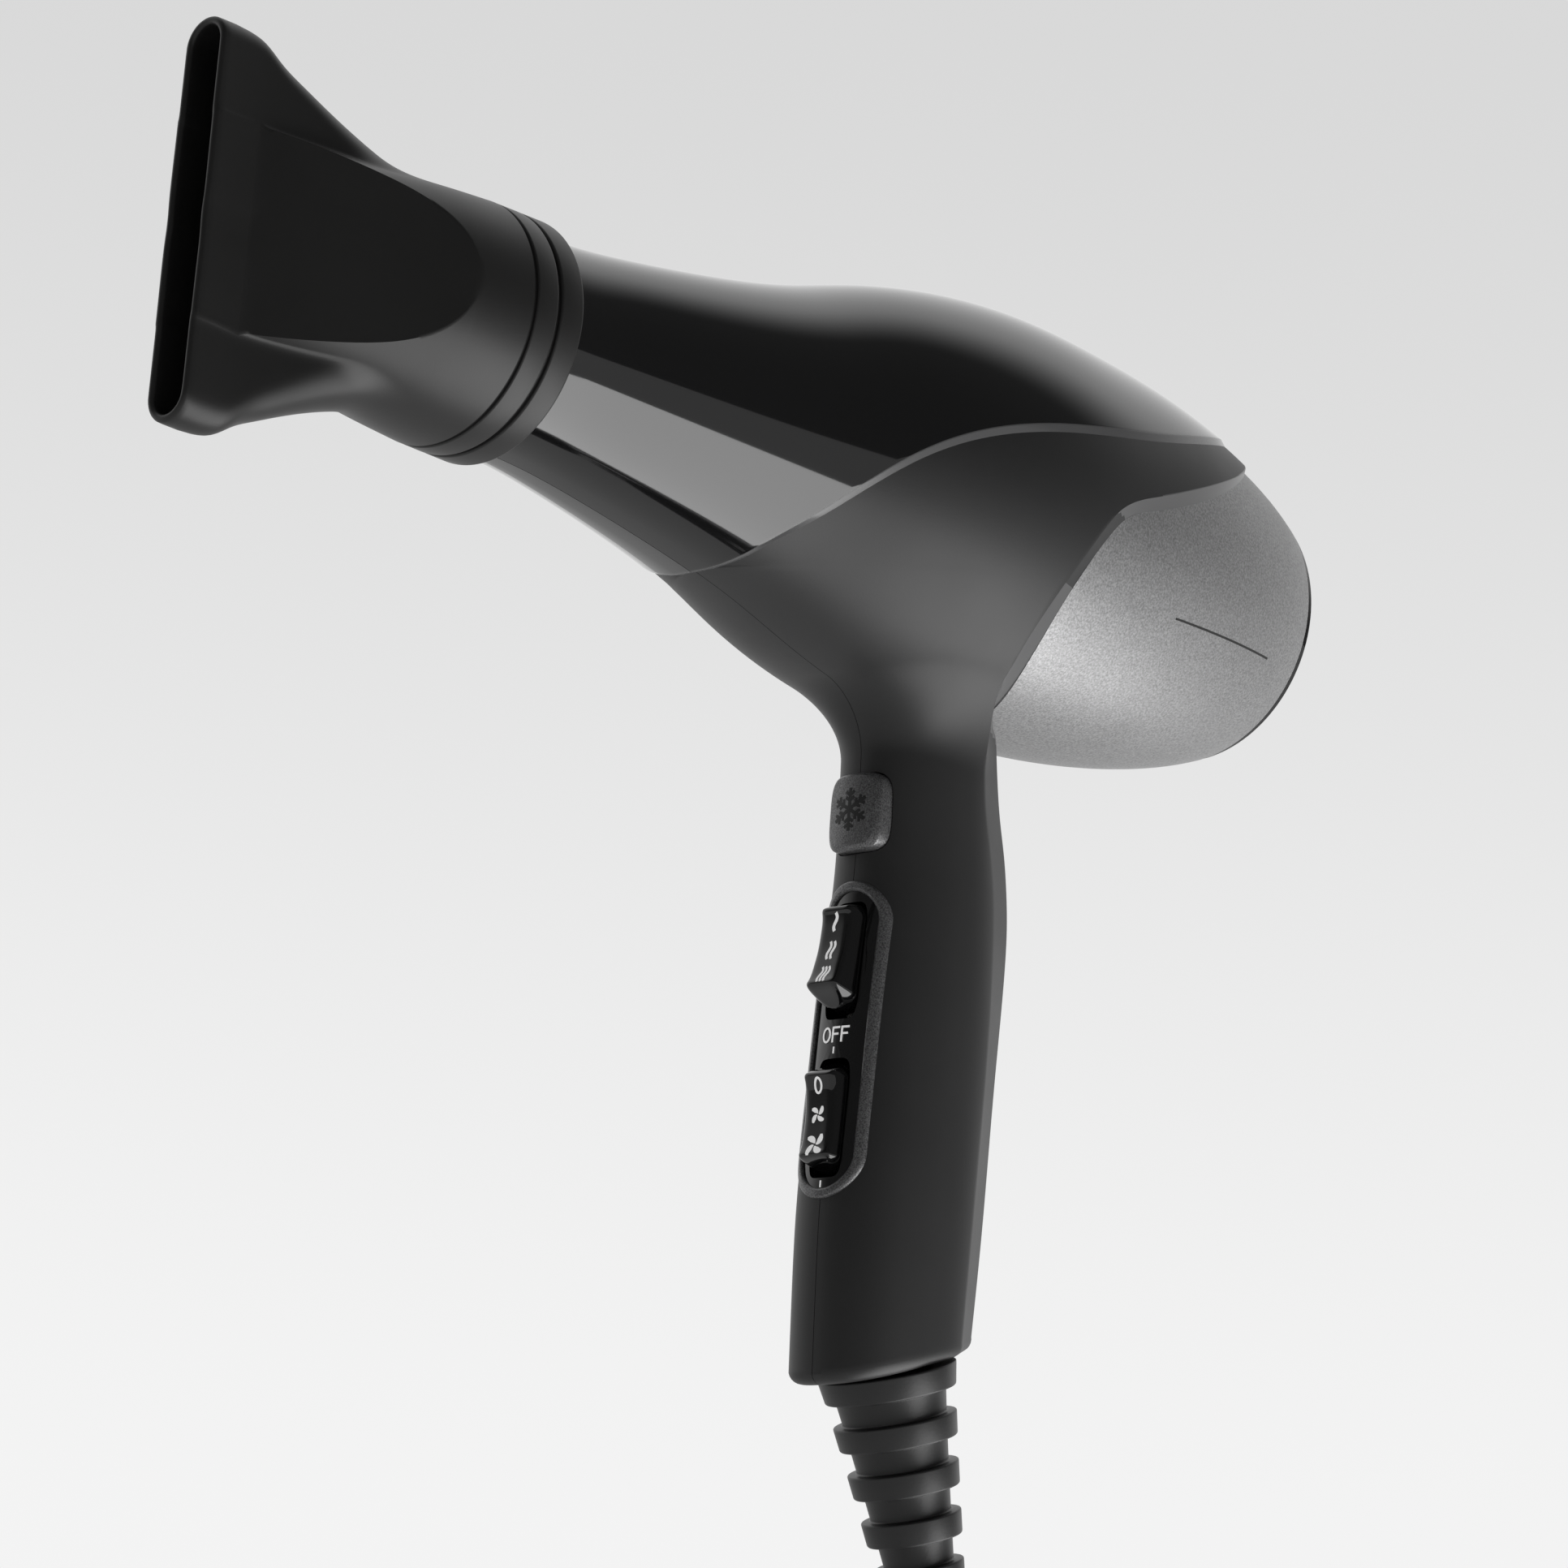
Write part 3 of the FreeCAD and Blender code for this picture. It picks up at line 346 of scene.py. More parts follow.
def make_object(name, points, faces, materials, merge=0.002):
    mesh = bpy.data.meshes.new(name)
    mesh.from_pydata(to_row(points).tolist(), [], [list(f) for f in faces])
    for material in materials:
        mesh.materials.append(material)
    tidy(mesh, merge)
    obj = bpy.data.objects.new(name, mesh)
    link(obj)
    return obj


def apply_modifiers(obj):
    done = bpy.data.meshes.new_from_object(
        obj.evaluated_get(bpy.context.evaluated_depsgraph_get()))
    obj.modifiers.clear()
    obj.data = done


def piece(obj, body, slot, *nodes, sharp=32):
    shade(obj, sharp)
    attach(obj, body)
    if nodes:
        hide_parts(*nodes)
    return obj


def thicken(obj, wall):
    """Give a skin a wall on its inner side."""
    modifier = obj.modifiers.new("wall", "SOLIDIFY")
    modifier.thickness = wall * MM
    modifier.offset = -1.0
    apply_modifiers(obj)


def cut_away(obj, cutters):
    for cutter in cutters:
        modifier = obj.modifiers.new("hole", "BOOLEAN")
        modifier.operation = "DIFFERENCE"
        modifier.solver = "EXACT"
        modifier.object = cutter
    apply_modifiers(obj)


def discard(objects):
    for obj in objects:
        bpy.data.objects.remove(obj, do_unlink=True)


def softened(points, radius, steps=4):
    """Closed outline with each corner rounded by a short curve."""
    points = [np.asarray(p, float) for p in points]
    rounded = []
    for i, corner in enumerate(points):
        before, after = points[i - 1], points[(i + 1) % len(points)]
        into, out = before - corner, after - corner
        reach = min(radius, 0.45 * np.linalg.norm(into), 0.45 * np.linalg.norm(out))
        a = corner + into / np.linalg.norm(into) * reach
        b = corner + out / np.linalg.norm(out) * reach
        for k in range(steps + 1):
            t = k / steps
            rounded.append((1 - t) ** 2 * a + 2 * t * (1 - t) * corner + t * t * b)
    return np.array(rounded)


def lathe(name, profile, origin, axis, materials, segments=128):
    """Solid of revolution from a closed outline of (distance along axis, radius)."""
    axis = np.asarray(axis, float)
    side = np.array((0.0, 1.0, 0.0))
    other = np.cross(axis, side)
    angles = np.linspace(0, 2 * math.pi, segments, endpoint=False)
    ring = np.cos(angles)[:, None] * side + np.sin(angles)[:, None] * other
    points = [np.asarray(origin) + s * axis + max(r, 0.0) * ring for s, r in profile]
    faces = grid_faces(len(profile), segments, True, True)
    return make_object(name, np.concatenate(points), faces, materials)


def capped(rows, columns):
    """Faces of a tube of closed rings with both ends shut."""
    faces = grid_faces(rows, columns, False, True)
    faces.append(tuple(range(columns)))
    faces.append(tuple(range((rows - 1) * columns, rows * columns)))
    return faces


# ---- gloss covers ---------------------------------------------------------------------
def on_barrel(x, angle, drop=0.0):
    """Point of the barrel skin, on the left side, at the angle above the side."""
    r = barrel_r.at(x) - drop
    return np.stack([x, -r * np.cos(angle), r * np.sin(angle)], axis=-1)


def barrel_point(xz, drop=0.0):
    x, z = xz[:, 0], xz[:, 1]
    angle = np.arcsin(np.clip(z / (barrel_r.at(x) - drop), -1, 1))
    return on_barrel(x, angle, drop)


def edge_offset(line, distance):
    """Shift a line on the barrel skin sideways, towards the outlet and the top."""
    tangent = np.gradient(line, axis=0)
    outward = line * (0, 1, 1)
    across = np.cross(outward, tangent)
    across /= np.linalg.norm(across, axis=1)[:, None]
    moved = line + across * distance
    angle = np.arctan2(moved[:, 2], -moved[:, 1])
    return moved[:, 0], angle


def cover_edge(count):
    run = lengths(np.array(COVER_EDGE))
    return through(COVER_EDGE).at(np.linspace(0, run[-1], count))


def make_cover(name, side, node):
    edge_xz = along(cover_edge(900), 260)
    low = barrel_point(edge_xz)
    low[0] = on_barrel(np.array(edge_xz[0, 0]), np.array(-math.pi / 2))
    up_x, up_angle = edge_offset(low, COVER_BEVEL)
    up_angle = np.clip(up_angle, -math.pi / 2, math.pi / 2)
    up_angle[0] = -math.pi / 2
    up_angle[-1] = math.pi / 2
    low_angle = np.arctan2(low[:, 2], -low[:, 1])
    low_angle[-1] = math.pi / 2
    up_angle = np.maximum.accumulate(up_angle)
    stations = 90
    rows = []
    for i in range(stations):
        x = COVER_FRONT + (up_x - COVER_FRONT) * i / (stations - 1)
        rows.append(on_barrel(x, up_angle))
    for t, drop in ((0.12, 0.03), (0.5, 0.36), (0.88, 0.72), (1.0, 0.98)):
        x, angle = up_x + (low[:, 0] - up_x) * t, up_angle + (low_angle - up_angle) * t
        rows.append(on_barrel(x, angle, drop))
    points = np.concatenate(rows) * (1, side, 1)
    points[:, 1] = side * np.minimum(side * points[:, 1], -SEAM)
    obj = make_object(name, points, grid_faces(len(rows), len(low)), [gloss_black, bevel_reflection_grey])
    mark_band(obj, np.stack(rows[stations - 1:], axis=1), side)
    thicken(obj, COVER_WALL)
    piece(obj, "body", "gloss_black", node, sharp=14)


# ---- matte shells ---------------------------------------------------------------------
def handle_at(z):
    rows = handle_curve.at(-z)
    front, rear, half = rows[..., 0], rows[..., 1], rows[..., 2]
    return (front + rear) / 2, (rear - front) / 2, half


def skin_gap(x, y, z):
    """About the distance outside the barrel and handle joined by the neck fillet."""
    a = np.hypot(y, z) - (barrel_r.at(x) - MATTE_DROP)
    middle, depth, half = handle_at(z)
    qx, qy = np.abs(x - middle) / depth + 1e-9, np.abs(y) / half + 1e-9
    power = HANDLE_POWER
    q = (qx ** power + qy ** power) ** (1 / power)
    slope = np.hypot(qx ** (power - 1) / depth, qy ** (power - 1) / half) * q ** (1 - power)
    b = (q - 1) / slope
    u, v = np.maximum(NECK_FILLET - a, 0), np.maximum(NECK_FILLET - b, 0)
    return np.maximum(NECK_FILLET, np.minimum(a, b)) - np.hypot(u, v)


def solve(inside_at, low, high):
    """Bisect for the place between low (inside) and high (outside) where the skin is."""
    low, high = np.array(low, float), np.array(high, float)
    for _ in range(36):
        middle = (low + high) / 2
        inside = inside_at(middle)
        low, high = np.where(inside, middle, low), np.where(inside, high, middle)
    return low


def skin_y(x, z):
    return solve(lambda y: skin_gap(x, y, z) < 0, np.zeros_like(x), np.full_like(x, 70.0))


def seam_line():
    """Middle line of the underside, neck and front of the handle, in the side view."""
    x = np.linspace(58.5, 108.6, 120)
    under = solve(lambda z: skin_gap(x, 0 * x, z) < 0, np.full_like(x, -10.0), np.full_like(x, -80.0))
    foot_z = FOOT_Z + FOOT_ROUND / math.cos(FOOT_TILT) + math.tan(FOOT_TILT) * (110.8 - FOOT_X)
    z = np.linspace(under[-1] - 0.4, foot_z, 260)
    front = solve(lambda q: skin_gap(q, 0 * z, z) < 0, np.full_like(z, 131.0), np.full_like(z, 80.0))
    return np.concatenate([np.stack([x, under], 1), np.stack([front, z], 1)])


def nearest_length(line, run, point):
    return run[np.argmin(np.hypot(line[:, 0] - point[0], line[:, 1] - point[1]))]


# where lines across the matte shell start, for each row of SHELL_BAND
SHELL_STARTS = [(212, 38), (202, 34.7), (190, 29.5), (165, 21), (132, 12), (105, 4.5),
                (76, -13.5), (60.5, -31.6), (98, -42), (109.2, -47), (112, -56), (112.6, -65),
                (112.8, -74), (112.8, -82), (112.4, -92), (110.9, -119), (109.6, -152), (110.5, -185.2)]


def shell_start_line():
    """Cover edge from the tail to the underside, tucked under the cover, then the seam."""
    edge = cover_edge(500)
    reach = barrel_r.at(edge[:, 0]) - MATTE_DROP
    edge = edge[np.abs(edge[:, 1]) < reach][::-1]
    x, angle = edge_offset(barrel_point(edge, MATTE_DROP), -1.1)
    r = barrel_r.at(x) - MATTE_DROP
    tucked = np.stack([x, r * np.sin(angle)], 1)
    tail_x = np.array([208.5])
    tail = np.stack([tail_x, barrel_r.at(tail_x) - MATTE_DROP], 1)
    return np.concatenate([tail, tucked[(tucked[:, 0] < 207) & (tucked[:, 1] > -29.5)], seam_line()])


def shell_lines(stations=300):
    starts = shell_start_line()
    run = lengths(starts)
    keys = [nearest_length(starts, run, p) for p in SHELL_STARTS]
    keys[0], keys[-1] = 0.0, run[-1]
    band = np.array(SHELL_BAND)
    knots = lengths(band[:, :2])
    band_curve = Curve(knots, band)
    s = np.linspace(0, knots[-1], stations)
    start_run = np.interp(s, knots, keys)
    start = np.stack([np.interp(start_run, run, starts[:, k]) for k in (0, 1)], axis=1)
    return start, band_curve.at(s)


def inner_edge(band):
    """Inner line of the rear edge: on the rear housing, then beside the handle's spine."""
    inner, inner_half = band[:, 2:4], band[:, 4]
    r = barrel_r.at(inner[:, 0]) - REAR_DROP - TUCK
    on_r = np.sqrt(np.maximum(r ** 2 - inner[:, 1] ** 2, 0))
    line = np.stack([inner[:, 0], -np.maximum(on_r, inner_half), inner[:, 1]], axis=1)
    line[0] = (line[0, 0], 0.0, r[0])
    return line


def make_spine():
    """Rear face of the handle between the two matte shells."""
    edge = inner_edge(shell_lines()[1])
    edge = edge[edge[:, 2] < SPINE_TOP]
    first = edge[0] + (-4.0, 0.0, 4.0)
    edge = np.concatenate([[first], edge])
    columns = []
    for t in np.linspace(-1, 1, 17):
        crown = SPINE_CROWN * (1 - t ** 2) - TUCK
        columns.append(edge * (1, t, 1) + (crown, 0, 0))
    grid = np.stack(columns, axis=1)
    grid = np.concatenate([grid, foot_rows(grid[-1])])
    faces = grid_faces(grid.shape[0], grid.shape[1])
    obj = make_object("handle_rear", grid.reshape(-1, 3), faces, [matte_black])
    thicken(obj, SHELL_WALL)
    piece(obj, "body", "matte_black", "handle_spine", sharp=30)


def make_shell(name, side, node, cutters):
    start, band = shell_lines()
    outer = band[:, 0:2]
    start_y = skin_y(start[:, 0], start[:, 1])
    # lines that start at the seam are closer there, where the skin turns
    flat = np.clip(start_y / 12.0, 0, 1)[:, None]
    columns = 64
    rows = []
    for j in range(columns + 1):
        w = j / columns
        share = w * flat + (1 - np.cos(math.pi * w / 2)) * (1 - flat)
        xz = start + (outer - start) * share
        rows.append(np.stack([xz[:, 0], -skin_y(xz[:, 0], xz[:, 1]), xz[:, 1]], axis=1))
    rows[0][flat[:, 0] < 0.02, 1] = 0.0
    for row in rows:
        row[0] = (row[0, 0], 0.0, barrel_r.at(row[0, 0]) - MATTE_DROP)
    inner_line, outer_line = inner_edge(band), rows[-1]
    for t in (0.1, 0.5, 0.9, 1.0):
        rows.append(outer_line + (inner_line - outer_line) * t)
    grid = np.stack(rows, axis=1)  # stations x columns x 3
    grid = np.concatenate([grid, foot_rows(grid[-1])])
    points = grid.reshape(-1, 3).copy()
    points[:, 1] = np.minimum(points[:, 1], -SEAM)
    faces = grid_faces(grid.shape[0], grid.shape[1])
    obj = make_object(name, points * (1, side, 1), faces, [matte_black, edge_lit_grey, edge_dark])
    mark_band(obj, grid[:, columns:], side)
    thicken(obj, SHELL_WALL)
    cut_away(obj, cutters)
    piece(obj, "body", "matte_black", node, sharp=24)


def foot_rows(last):
    """Rounded bottom edge and slanted bottom face, from the last row above them."""
    down = np.array((math.sin(FOOT_TILT), 0.0, -math.cos(FOOT_TILT)))
    centre = np.array((FOOT_X, 0.0, FOOT_Z)) - down * FOOT_ROUND
    spread = last - centre
    spread -= (spread @ down)[:, None] * down
    size = np.linalg.norm(spread, axis=1)[:, None]
    rows = []
    for k in range(1, 7):
        angle = math.pi / 2 * k / 6
        inset = FOOT_ROUND * (1 - math.cos(angle))
        rows.append(centre + spread * (1 - inset / size) + down * FOOT_ROUND * math.sin(angle))
    edge = rows[-1] - centre - down * FOOT_ROUND
    for share in (0.8, 0.6, 0.45):
        rows.append(centre + down * FOOT_ROUND + edge * share)
    return np.array(rows)


def mark_band(obj, band, side):
    """Second material, a painted highlight grey, on a bevelled edge given by its points; on the shells a
    third, plain dark copy at the BAND_STEP heights.
    """
    band_points = to_row(band.reshape(-1, 3) * (1, side, 1))
    tree = KDTree(len(band_points))
    for i, p in enumerate(band_points):
        tree.insert(p, i)
    tree.balance()
    step_low, step_high, grip_top = (z - GRIP[2] for z in BAND_STEP)
    reach = 0.3 * MM
    for face in obj.data.polygons:
        near = all(tree.find(obj.data.vertices[v].co)[2] < reach for v in face.vertices)
        height = face.center.z / MM
        # index 1 is the painted highlight grey, index 2 its plain dark copy
        stepped = len(obj.data.materials) > 2 and (step_low < height < step_high or height < grip_top)
        face.material_index = (2 if stepped else 1) if near else 0


# ---- nozzle ---------------------------------------------------------------------------
def smooth_max(a, b, k):
    h = np.maximum(k - np.abs(a - b), 0) / k
    return np.maximum(a, b) + h * h * k / 4


def nozzle_ring(x, inset, side_steps=26, end_steps=34):
    """One section of the nozzle skin across the x axis, as (y, z) points."""
    round_size = round_r.at(x) - inset
    panel = max(panel_width.at(x), LIP_HALF_WIDTH) - inset
    width, height = fan_width.at(x) - inset, fan_height.at(x) - inset
    crest = math.acos(min(0.999, panel / round_size)) if panel < round_size else 0.0
    crest = min(max(crest, math.radians(8)), math.radians(75))
    flat = np.tan(crest) * np.linspace(0, 1, side_steps + 1)
    quarter = np.concatenate([np.arctan(flat), np.linspace(crest, math.pi / 2, end_steps + 1)[1:]])
    c, s = np.maximum(np.cos(quarter), 1e-6), np.sin(quarter)
    body = np.minimum(round_size, panel / c)
    side_hit = width / c
    over = side_hit * s > height - width
    tip = (height - width) * s + np.sqrt(np.maximum(width ** 2 - ((height - width) * c) ** 2, 0))
    fan = np.where(over, tip, side_hit)
    r = smooth_max(body, fan, FAN_BLEND * s ** 2 + 0.01)
    y, z = -r * np.cos(quarter), r * s
    ring = list(zip(y, z))
    ring += [(-a, b) for a, b in reversed(ring[:-1])]
    ring += [(a, -b) for a, b in reversed(ring[1:-1])]
    return np.array(ring)


def make_nozzle():
    outside = list(np.linspace(NOZZLE_BACK, LIP_CREASE, 64)) + [-67.6, -68.6, -70, -73, -76, -77.3]
    rings = [(x, nozzle_ring(x, 0.0)) for x in outside]
    mid = NOZZLE_WALL / 2
    for k in range(1, 7):
        angle = math.pi * k / 6
        ring = nozzle_ring(NOZZLE_FRONT, mid * (1 - math.cos(angle)))
        rings.append((NOZZLE_FRONT + mid - mid * math.sin(angle), ring))
    for x in (-76, -72, -68, -66, -62, -56, -48, -40, -32, -26, NOZZLE_BACK):
        rings.append((x, nozzle_ring(x, NOZZLE_WALL if x < ROOT_X else ROOT_WALL)))
    points = [np.column_stack([np.full(len(ring), x), ring]) for x, ring in rings]
    count = len(points[0])
    obj = make_object("nozzle_skin", np.concatenate(points),
                      grid_faces(len(points), count, True, True), [nozzle_black])
    piece(obj, "nozzle", "nozzle_black", "nozzle_shell", sharp=40)


def make_collar():
    groove, floor_r = 0.5, 24.0
    outline = [(-15.6, 23.6), (-13.2, 23.6), (-13.0, floor_r)]
    for x in (-12.3, -6.1):
        r = 24.7 + 0.02 * (x + 15)
        if x > NOZZLE_BACK + 2:  # the front groove meets the nozzle's skin
            outline += [(x - groove, r), (x - groove * 0.6, floor_r)]
        outline += [(x + groove * 0.6, floor_r), (x + groove, r)]
    outline += [(0.0, 25.0), (0.0, 23.3), (-3.0, 23.3), (-3.0, 22.7)]
    outline += [(-15.0, 22.7), (-15.0, 20.6), (-15.6, 20.6)]
    obj = lathe("nozzle_band", softened(outline, 0.5), (0, 0, 0), (1, 0, 0), [nozzle_black], 192)
    piece(obj, "nozzle", "nozzle_black", "nozzle_collar", sharp=50)


# ---- strain relief, cord and plug -----------------------------------------------------
def relief_radius(t):
    return RELIEF_TOP_R + (RELIEF_TIP_R - RELIEF_TOP_R) * t ** 0.85


def make_relief():
    pitch = RELIEF_LENGTH / RELIEF_RINGS
    outline = [(-6, 4.6), (-6, 9.0), (0, 9.0)]
    for i in range(RELIEF_RINGS):
        top = i * pitch
        r_top, r_low = relief_radius(top / RELIEF_LENGTH), relief_radius((top + 5) / RELIEF_LENGTH)
        r_next = relief_radius((i + 1) * pitch / RELIEF_LENGTH)
        outline += [(top, r_top), (top + 0.5 * pitch, r_low), (top + 0.5 * pitch, r_low - RELIEF_GROOVE),
                    (top + pitch, max(r_next - RELIEF_GROOVE, CORD_D / 2 + 0.8))]
    outline.append((RELIEF_LENGTH, CORD_D / 2 - 0.1))
    obj = lathe("cord_sleeve", softened(outline, 0.45, 3), relief_root, relief_axis, [relief_rubber], 128)
    piece(obj, "body", "rubber", "strain_relief", sharp=45)


def coil_points():
    """Control points of the wound cord: six turns in six places of its section."""
    places = [(COIL_R, -12.0), (COIL_INNER_R, -12.0), (COIL_INNER_R, -4.0), (COIL_INNER_R, 4.0),
              (COIL_INNER_R, 12.0), (COIL_R, 12.0), (COIL_R, 4.0)]
    change_starts = (270, 220, 170, 120, 70, 20)
    shrink = math.cos(math.pi / COIL_STEPS)  # the spline runs inside its control points
    points = []
    for k in range(1, len(change_starts) * COIL_STEPS + 1):
        turn, angle = (k - 1) // COIL_STEPS, k * 360 / COIL_STEPS
        local = angle - 360 * turn
        share = min(1.0, max(0.0, (local - change_starts[turn]) / 50))
        share = share * share * (3 - 2 * share)
        before, after = places[turn], places[turn + 1]
        r = (before[0] + (after[0] - before[0]) * share) / shrink
        y = before[1] + (after[1] - before[1]) * share
        a = math.radians(angle)
        points.append((COIL_CENTRE[0] + r * math.cos(a), y, COIL_CENTRE[1] - r * math.sin(a)))
    return points


def make_cord():
    lead = [relief_tip, relief_tip + relief_axis * 27.5, (170.4, -5, -290.5), (172, -12, -318)]
    tail = [(172, TAIL_Y, -338), (172.9, TAIL_Y + 0.3, -358), (PLUG_X, TAIL_Y, PLUG_TOP)]
    route = to_row(lead + coil_points() + tail)
    curve = bpy.data.curves.new("mains_cord", "CURVE")
    curve.dimensions = "3D"
    curve.bevel_depth = CORD_D / 2 * MM
    curve.bevel_resolution = 6
    curve.use_fill_caps = True
    curve.resolution_u = 6
    spline = curve.splines.new("NURBS")
    spline.points.add(len(route) - 1)
    for point, place in zip(spline.points, route):
        point.co = (*place, 1.0)
    spline.order_u = 3
    spline.use_endpoint_u = True
    curve.materials.append(cord_pvc)
    cord = bpy.data.objects.new("mains_cord", curve)
    link(cord)
    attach(cord, "body")
    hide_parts("cord_lead", "cord_coil", "cord_tail")
    return cord


def make_tie():
    """Strap round the top of the coil."""
    low, high, half = 34.6, 52.2, 16.7
    outline = softened([(-half, low), (-half, high), (half, high), (half, low)], 5.0, 8)
    rings = []
    for x, out in ((-6, 0.3), (-5.6, 1.2), (5.6, 1.2), (6, 0.3), (5.6, 0.0), (-5.6, 0.0)):
        middle = np.array((0, (low + high) / 2))
        away = outline - middle
        away = away / np.linalg.norm(away, axis=1)[:, None]
        ring = outline + away * out
        rings.append(np.column_stack([np.full(len(ring), COIL_CENTRE[0] + x), ring[:, 0],
                                      COIL_CENTRE[1] + ring[:, 1]]))
    obj = make_object("coil_strap", np.concatenate(rings),
                      grid_faces(len(rings), len(outline), True, True), [rubber])
    return piece(obj, "body", "tie", "cord_tie", sharp=40)


def make_plug():
    sections = [(0, 5.6, 5.6), (0.8, 6.4, 6.3), (8, 8.1, 7.7)]
    for i in range(5):
        s = 10 + 3.2 * i
        grow = 8.5 + 0.62 * (s - 10)
        deep = 8.0 + 0.3 * (s - 10)
        sections += [(s, grow, deep), (s + 0.5, grow - 0.7, deep - 0.6),
                     (s + 1.5, grow - 0.5, deep - 0.5), (s + 2.0, grow + 0.6, deep + 0.4)]
    sections += [(30, 17.0, 12.6), (33, 17.6, 13.0), (36.8, 17.7, 13.1),
                 (37.7, 17.2, 12.6), (38, 16.4, 11.8)]
    ring = rounded_square(1.0, 1.0, 2 / 0.85, 96)
    points = [np.column_stack([PLUG_X + ring[:, 0] * a, TAIL_Y + ring[:, 1] * b,
                               np.full(len(ring), PLUG_TOP - d)]) for d, a, b in sections]
    obj = make_object("plug_skin", np.concatenate(points), capped(len(points), len(ring)), [cord_pvc])
    return piece(obj, "body", "cord", "plug_body", sharp=35)


# ---- switches -------------------------------------------------------------------------
def front_x(y, z):
    """Front of the handle at a height and distance from the middle."""
    middle, depth, half = handle_at(z)
    share = np.clip(1 - (np.abs(y) / half) ** HANDLE_POWER, 0, 1)
    return middle - depth * share ** (1 / HANDLE_POWER)


def stadium_outline(half, half_height, z_mid, arc_steps=24, side_steps=20):
    straight = half_height - half
    points = []
    for k in range(arc_steps):
        a = math.pi * k / arc_steps
        points.append((half * math.cos(a), straight + half * math.sin(a)))
    for k in range(side_steps):
        points.append((-half, straight - 2 * straight * k / side_steps))
    top = np.array(points)
    return np.concatenate([top, -top]) + (0, z_mid)


def rounded_square(half_y, half_z, power, steps=72):
    angles = np.linspace(0, 2 * math.pi, steps, endpoint=False)
    c, s = np.cos(angles), np.sin(angles)
    return np.column_stack([half_y * np.sign(c) * np.abs(c) ** (2 / power),
                            half_z * np.sign(s) * np.abs(s) ** (2 / power)])


def make_bezel():
    profile = softened([(0.0, -2.0), (0.0, 0.25), (0.35, 0.75), (1.7, 0.75),
                        (BEZEL_RIM, 0.25), (BEZEL_RIM, -2.0)], 0.3, 3)
    rings = []
    for inset, lift in profile:
        outline = stadium_outline(PANEL_HALF - inset, PANEL_HALF_HEIGHT - inset, PANEL_Z)
        x = front_x(outline[:, 0], outline[:, 1]) - lift
        rings.append(np.column_stack([x, outline]))
    obj = make_object("switch_frame", np.concatenate(rings),
                      grid_faces(len(rings), len(rings[0]), True, True), [sparkle_grey])
    piece(obj, "body", "gloss_black", "switch_bezel", sharp=40)


def make_plate():
    """Glossy panel inside the bezel with a window for each rocker."""
    half, half_height = PANEL_HALF - BEZEL_RIM + 0.3, PANEL_HALF_HEIGHT - BEZEL_RIM + 0.3
    outline = stadium_outline(half, half_height, 0.0)
    rings = []
    for back, shares in ((0.1, (0.02, 0.25, 0.5, 0.75, 1.0)), (1.6, (1.0, 0.75, 0.5, 0.25, 0.02))):
        for share in shares:
            ring = outline * share + (0, PANEL_Z)
            rings.append(np.column_stack([front_x(ring[:, 0], ring[:, 1]) + back, ring]))
    faces = capped(len(rings), len(outline))
    obj = make_object("switch_panel", np.concatenate(rings), faces, [gloss_black])
    windows = [prism(f"window_{k}", rounded_square(4.5, 12.4, 6.0) + (0, z), 125)
               for k, z in enumerate((HEAT_Z, SPEED_Z))]
    cut_away(obj, windows)
    discard(windows)
    piece(obj, "body", "gloss_black", "switch_plate", sharp=40)


def prism(name, outline, rear):
    """Cutter for an opening in the front of the handle."""
    rings = [np.column_stack([np.full(len(outline), x), outline]) for x in (CUT_FROM, rear)]
    return make_object(name, np.concatenate(rings), capped(2, len(outline)), [matte_black])


def button_x(y, z):
    """Dished face of the cold-shot button."""
    return BUTTON_FRONT + 0.028 * y ** 2 + 0.004 * (z - BUTTON_Z) ** 2


def make_button():
    """Button, open behind for its spring; gives the outline of its hole."""
    face = rounded_square(BUTTON_FACE[0], BUTTON_FACE[1], 4.2)
    rings = []
    for share in (0.02, 0.2, 0.4, 0.6, 0.8, 0.94, 1.0):
        ring = face * share
        rings.append(np.column_stack([button_x(ring[:, 0], ring[:, 1] + BUTTON_Z), ring]))
    edge_x = rings[-1][:, 0]
    skirt = ((0.2, 0.1), (0.9, 0.8), (1.05, 0.95), (1.2, 1.3), (1.25, 1.8), (1.3, 4.0), (1.3, 5.4))
    for grow, back in skirt:
        ring = rounded_square(BUTTON_FACE[0] + grow, BUTTON_FACE[1] + grow * 0.75, 4.4)
        rings.append(np.column_stack([edge_x + back, ring]))
    hollow = rounded_square(5.6, 6.6, 4.4)
    for back in (skirt[-1][1], 2.0):
        rings.append(np.column_stack([edge_x + back, hollow]))
    points = np.concatenate(rings) + (0, 0, BUTTON_Z)
    obj = make_object("cold_key", points, capped(len(rings), len(face)), [sparkle_grey])
    piece(obj, "cold_button", "gloss_black", "cold_button", sharp=28)
    return rounded_square(BUTTON_FACE[0] + 1.52, BUTTON_FACE[1] + 1.2, 4.4) + (0, BUTTON_Z)


def rocker_depth(s):
    """Distance from the pivot to the rocker's face, against the place along it."""
    profile = Curve([-11.6, -9.9, -8.7, -7.4, -4, 0, 4, 7.4, 8.7, 9.9, 11.6],
                    [5.2, 8.3, 10.7, 10.75, 10.05, 9.8, 10.05, 10.75, 10.7, 8.3, 5.2])
    return profile.at(s)


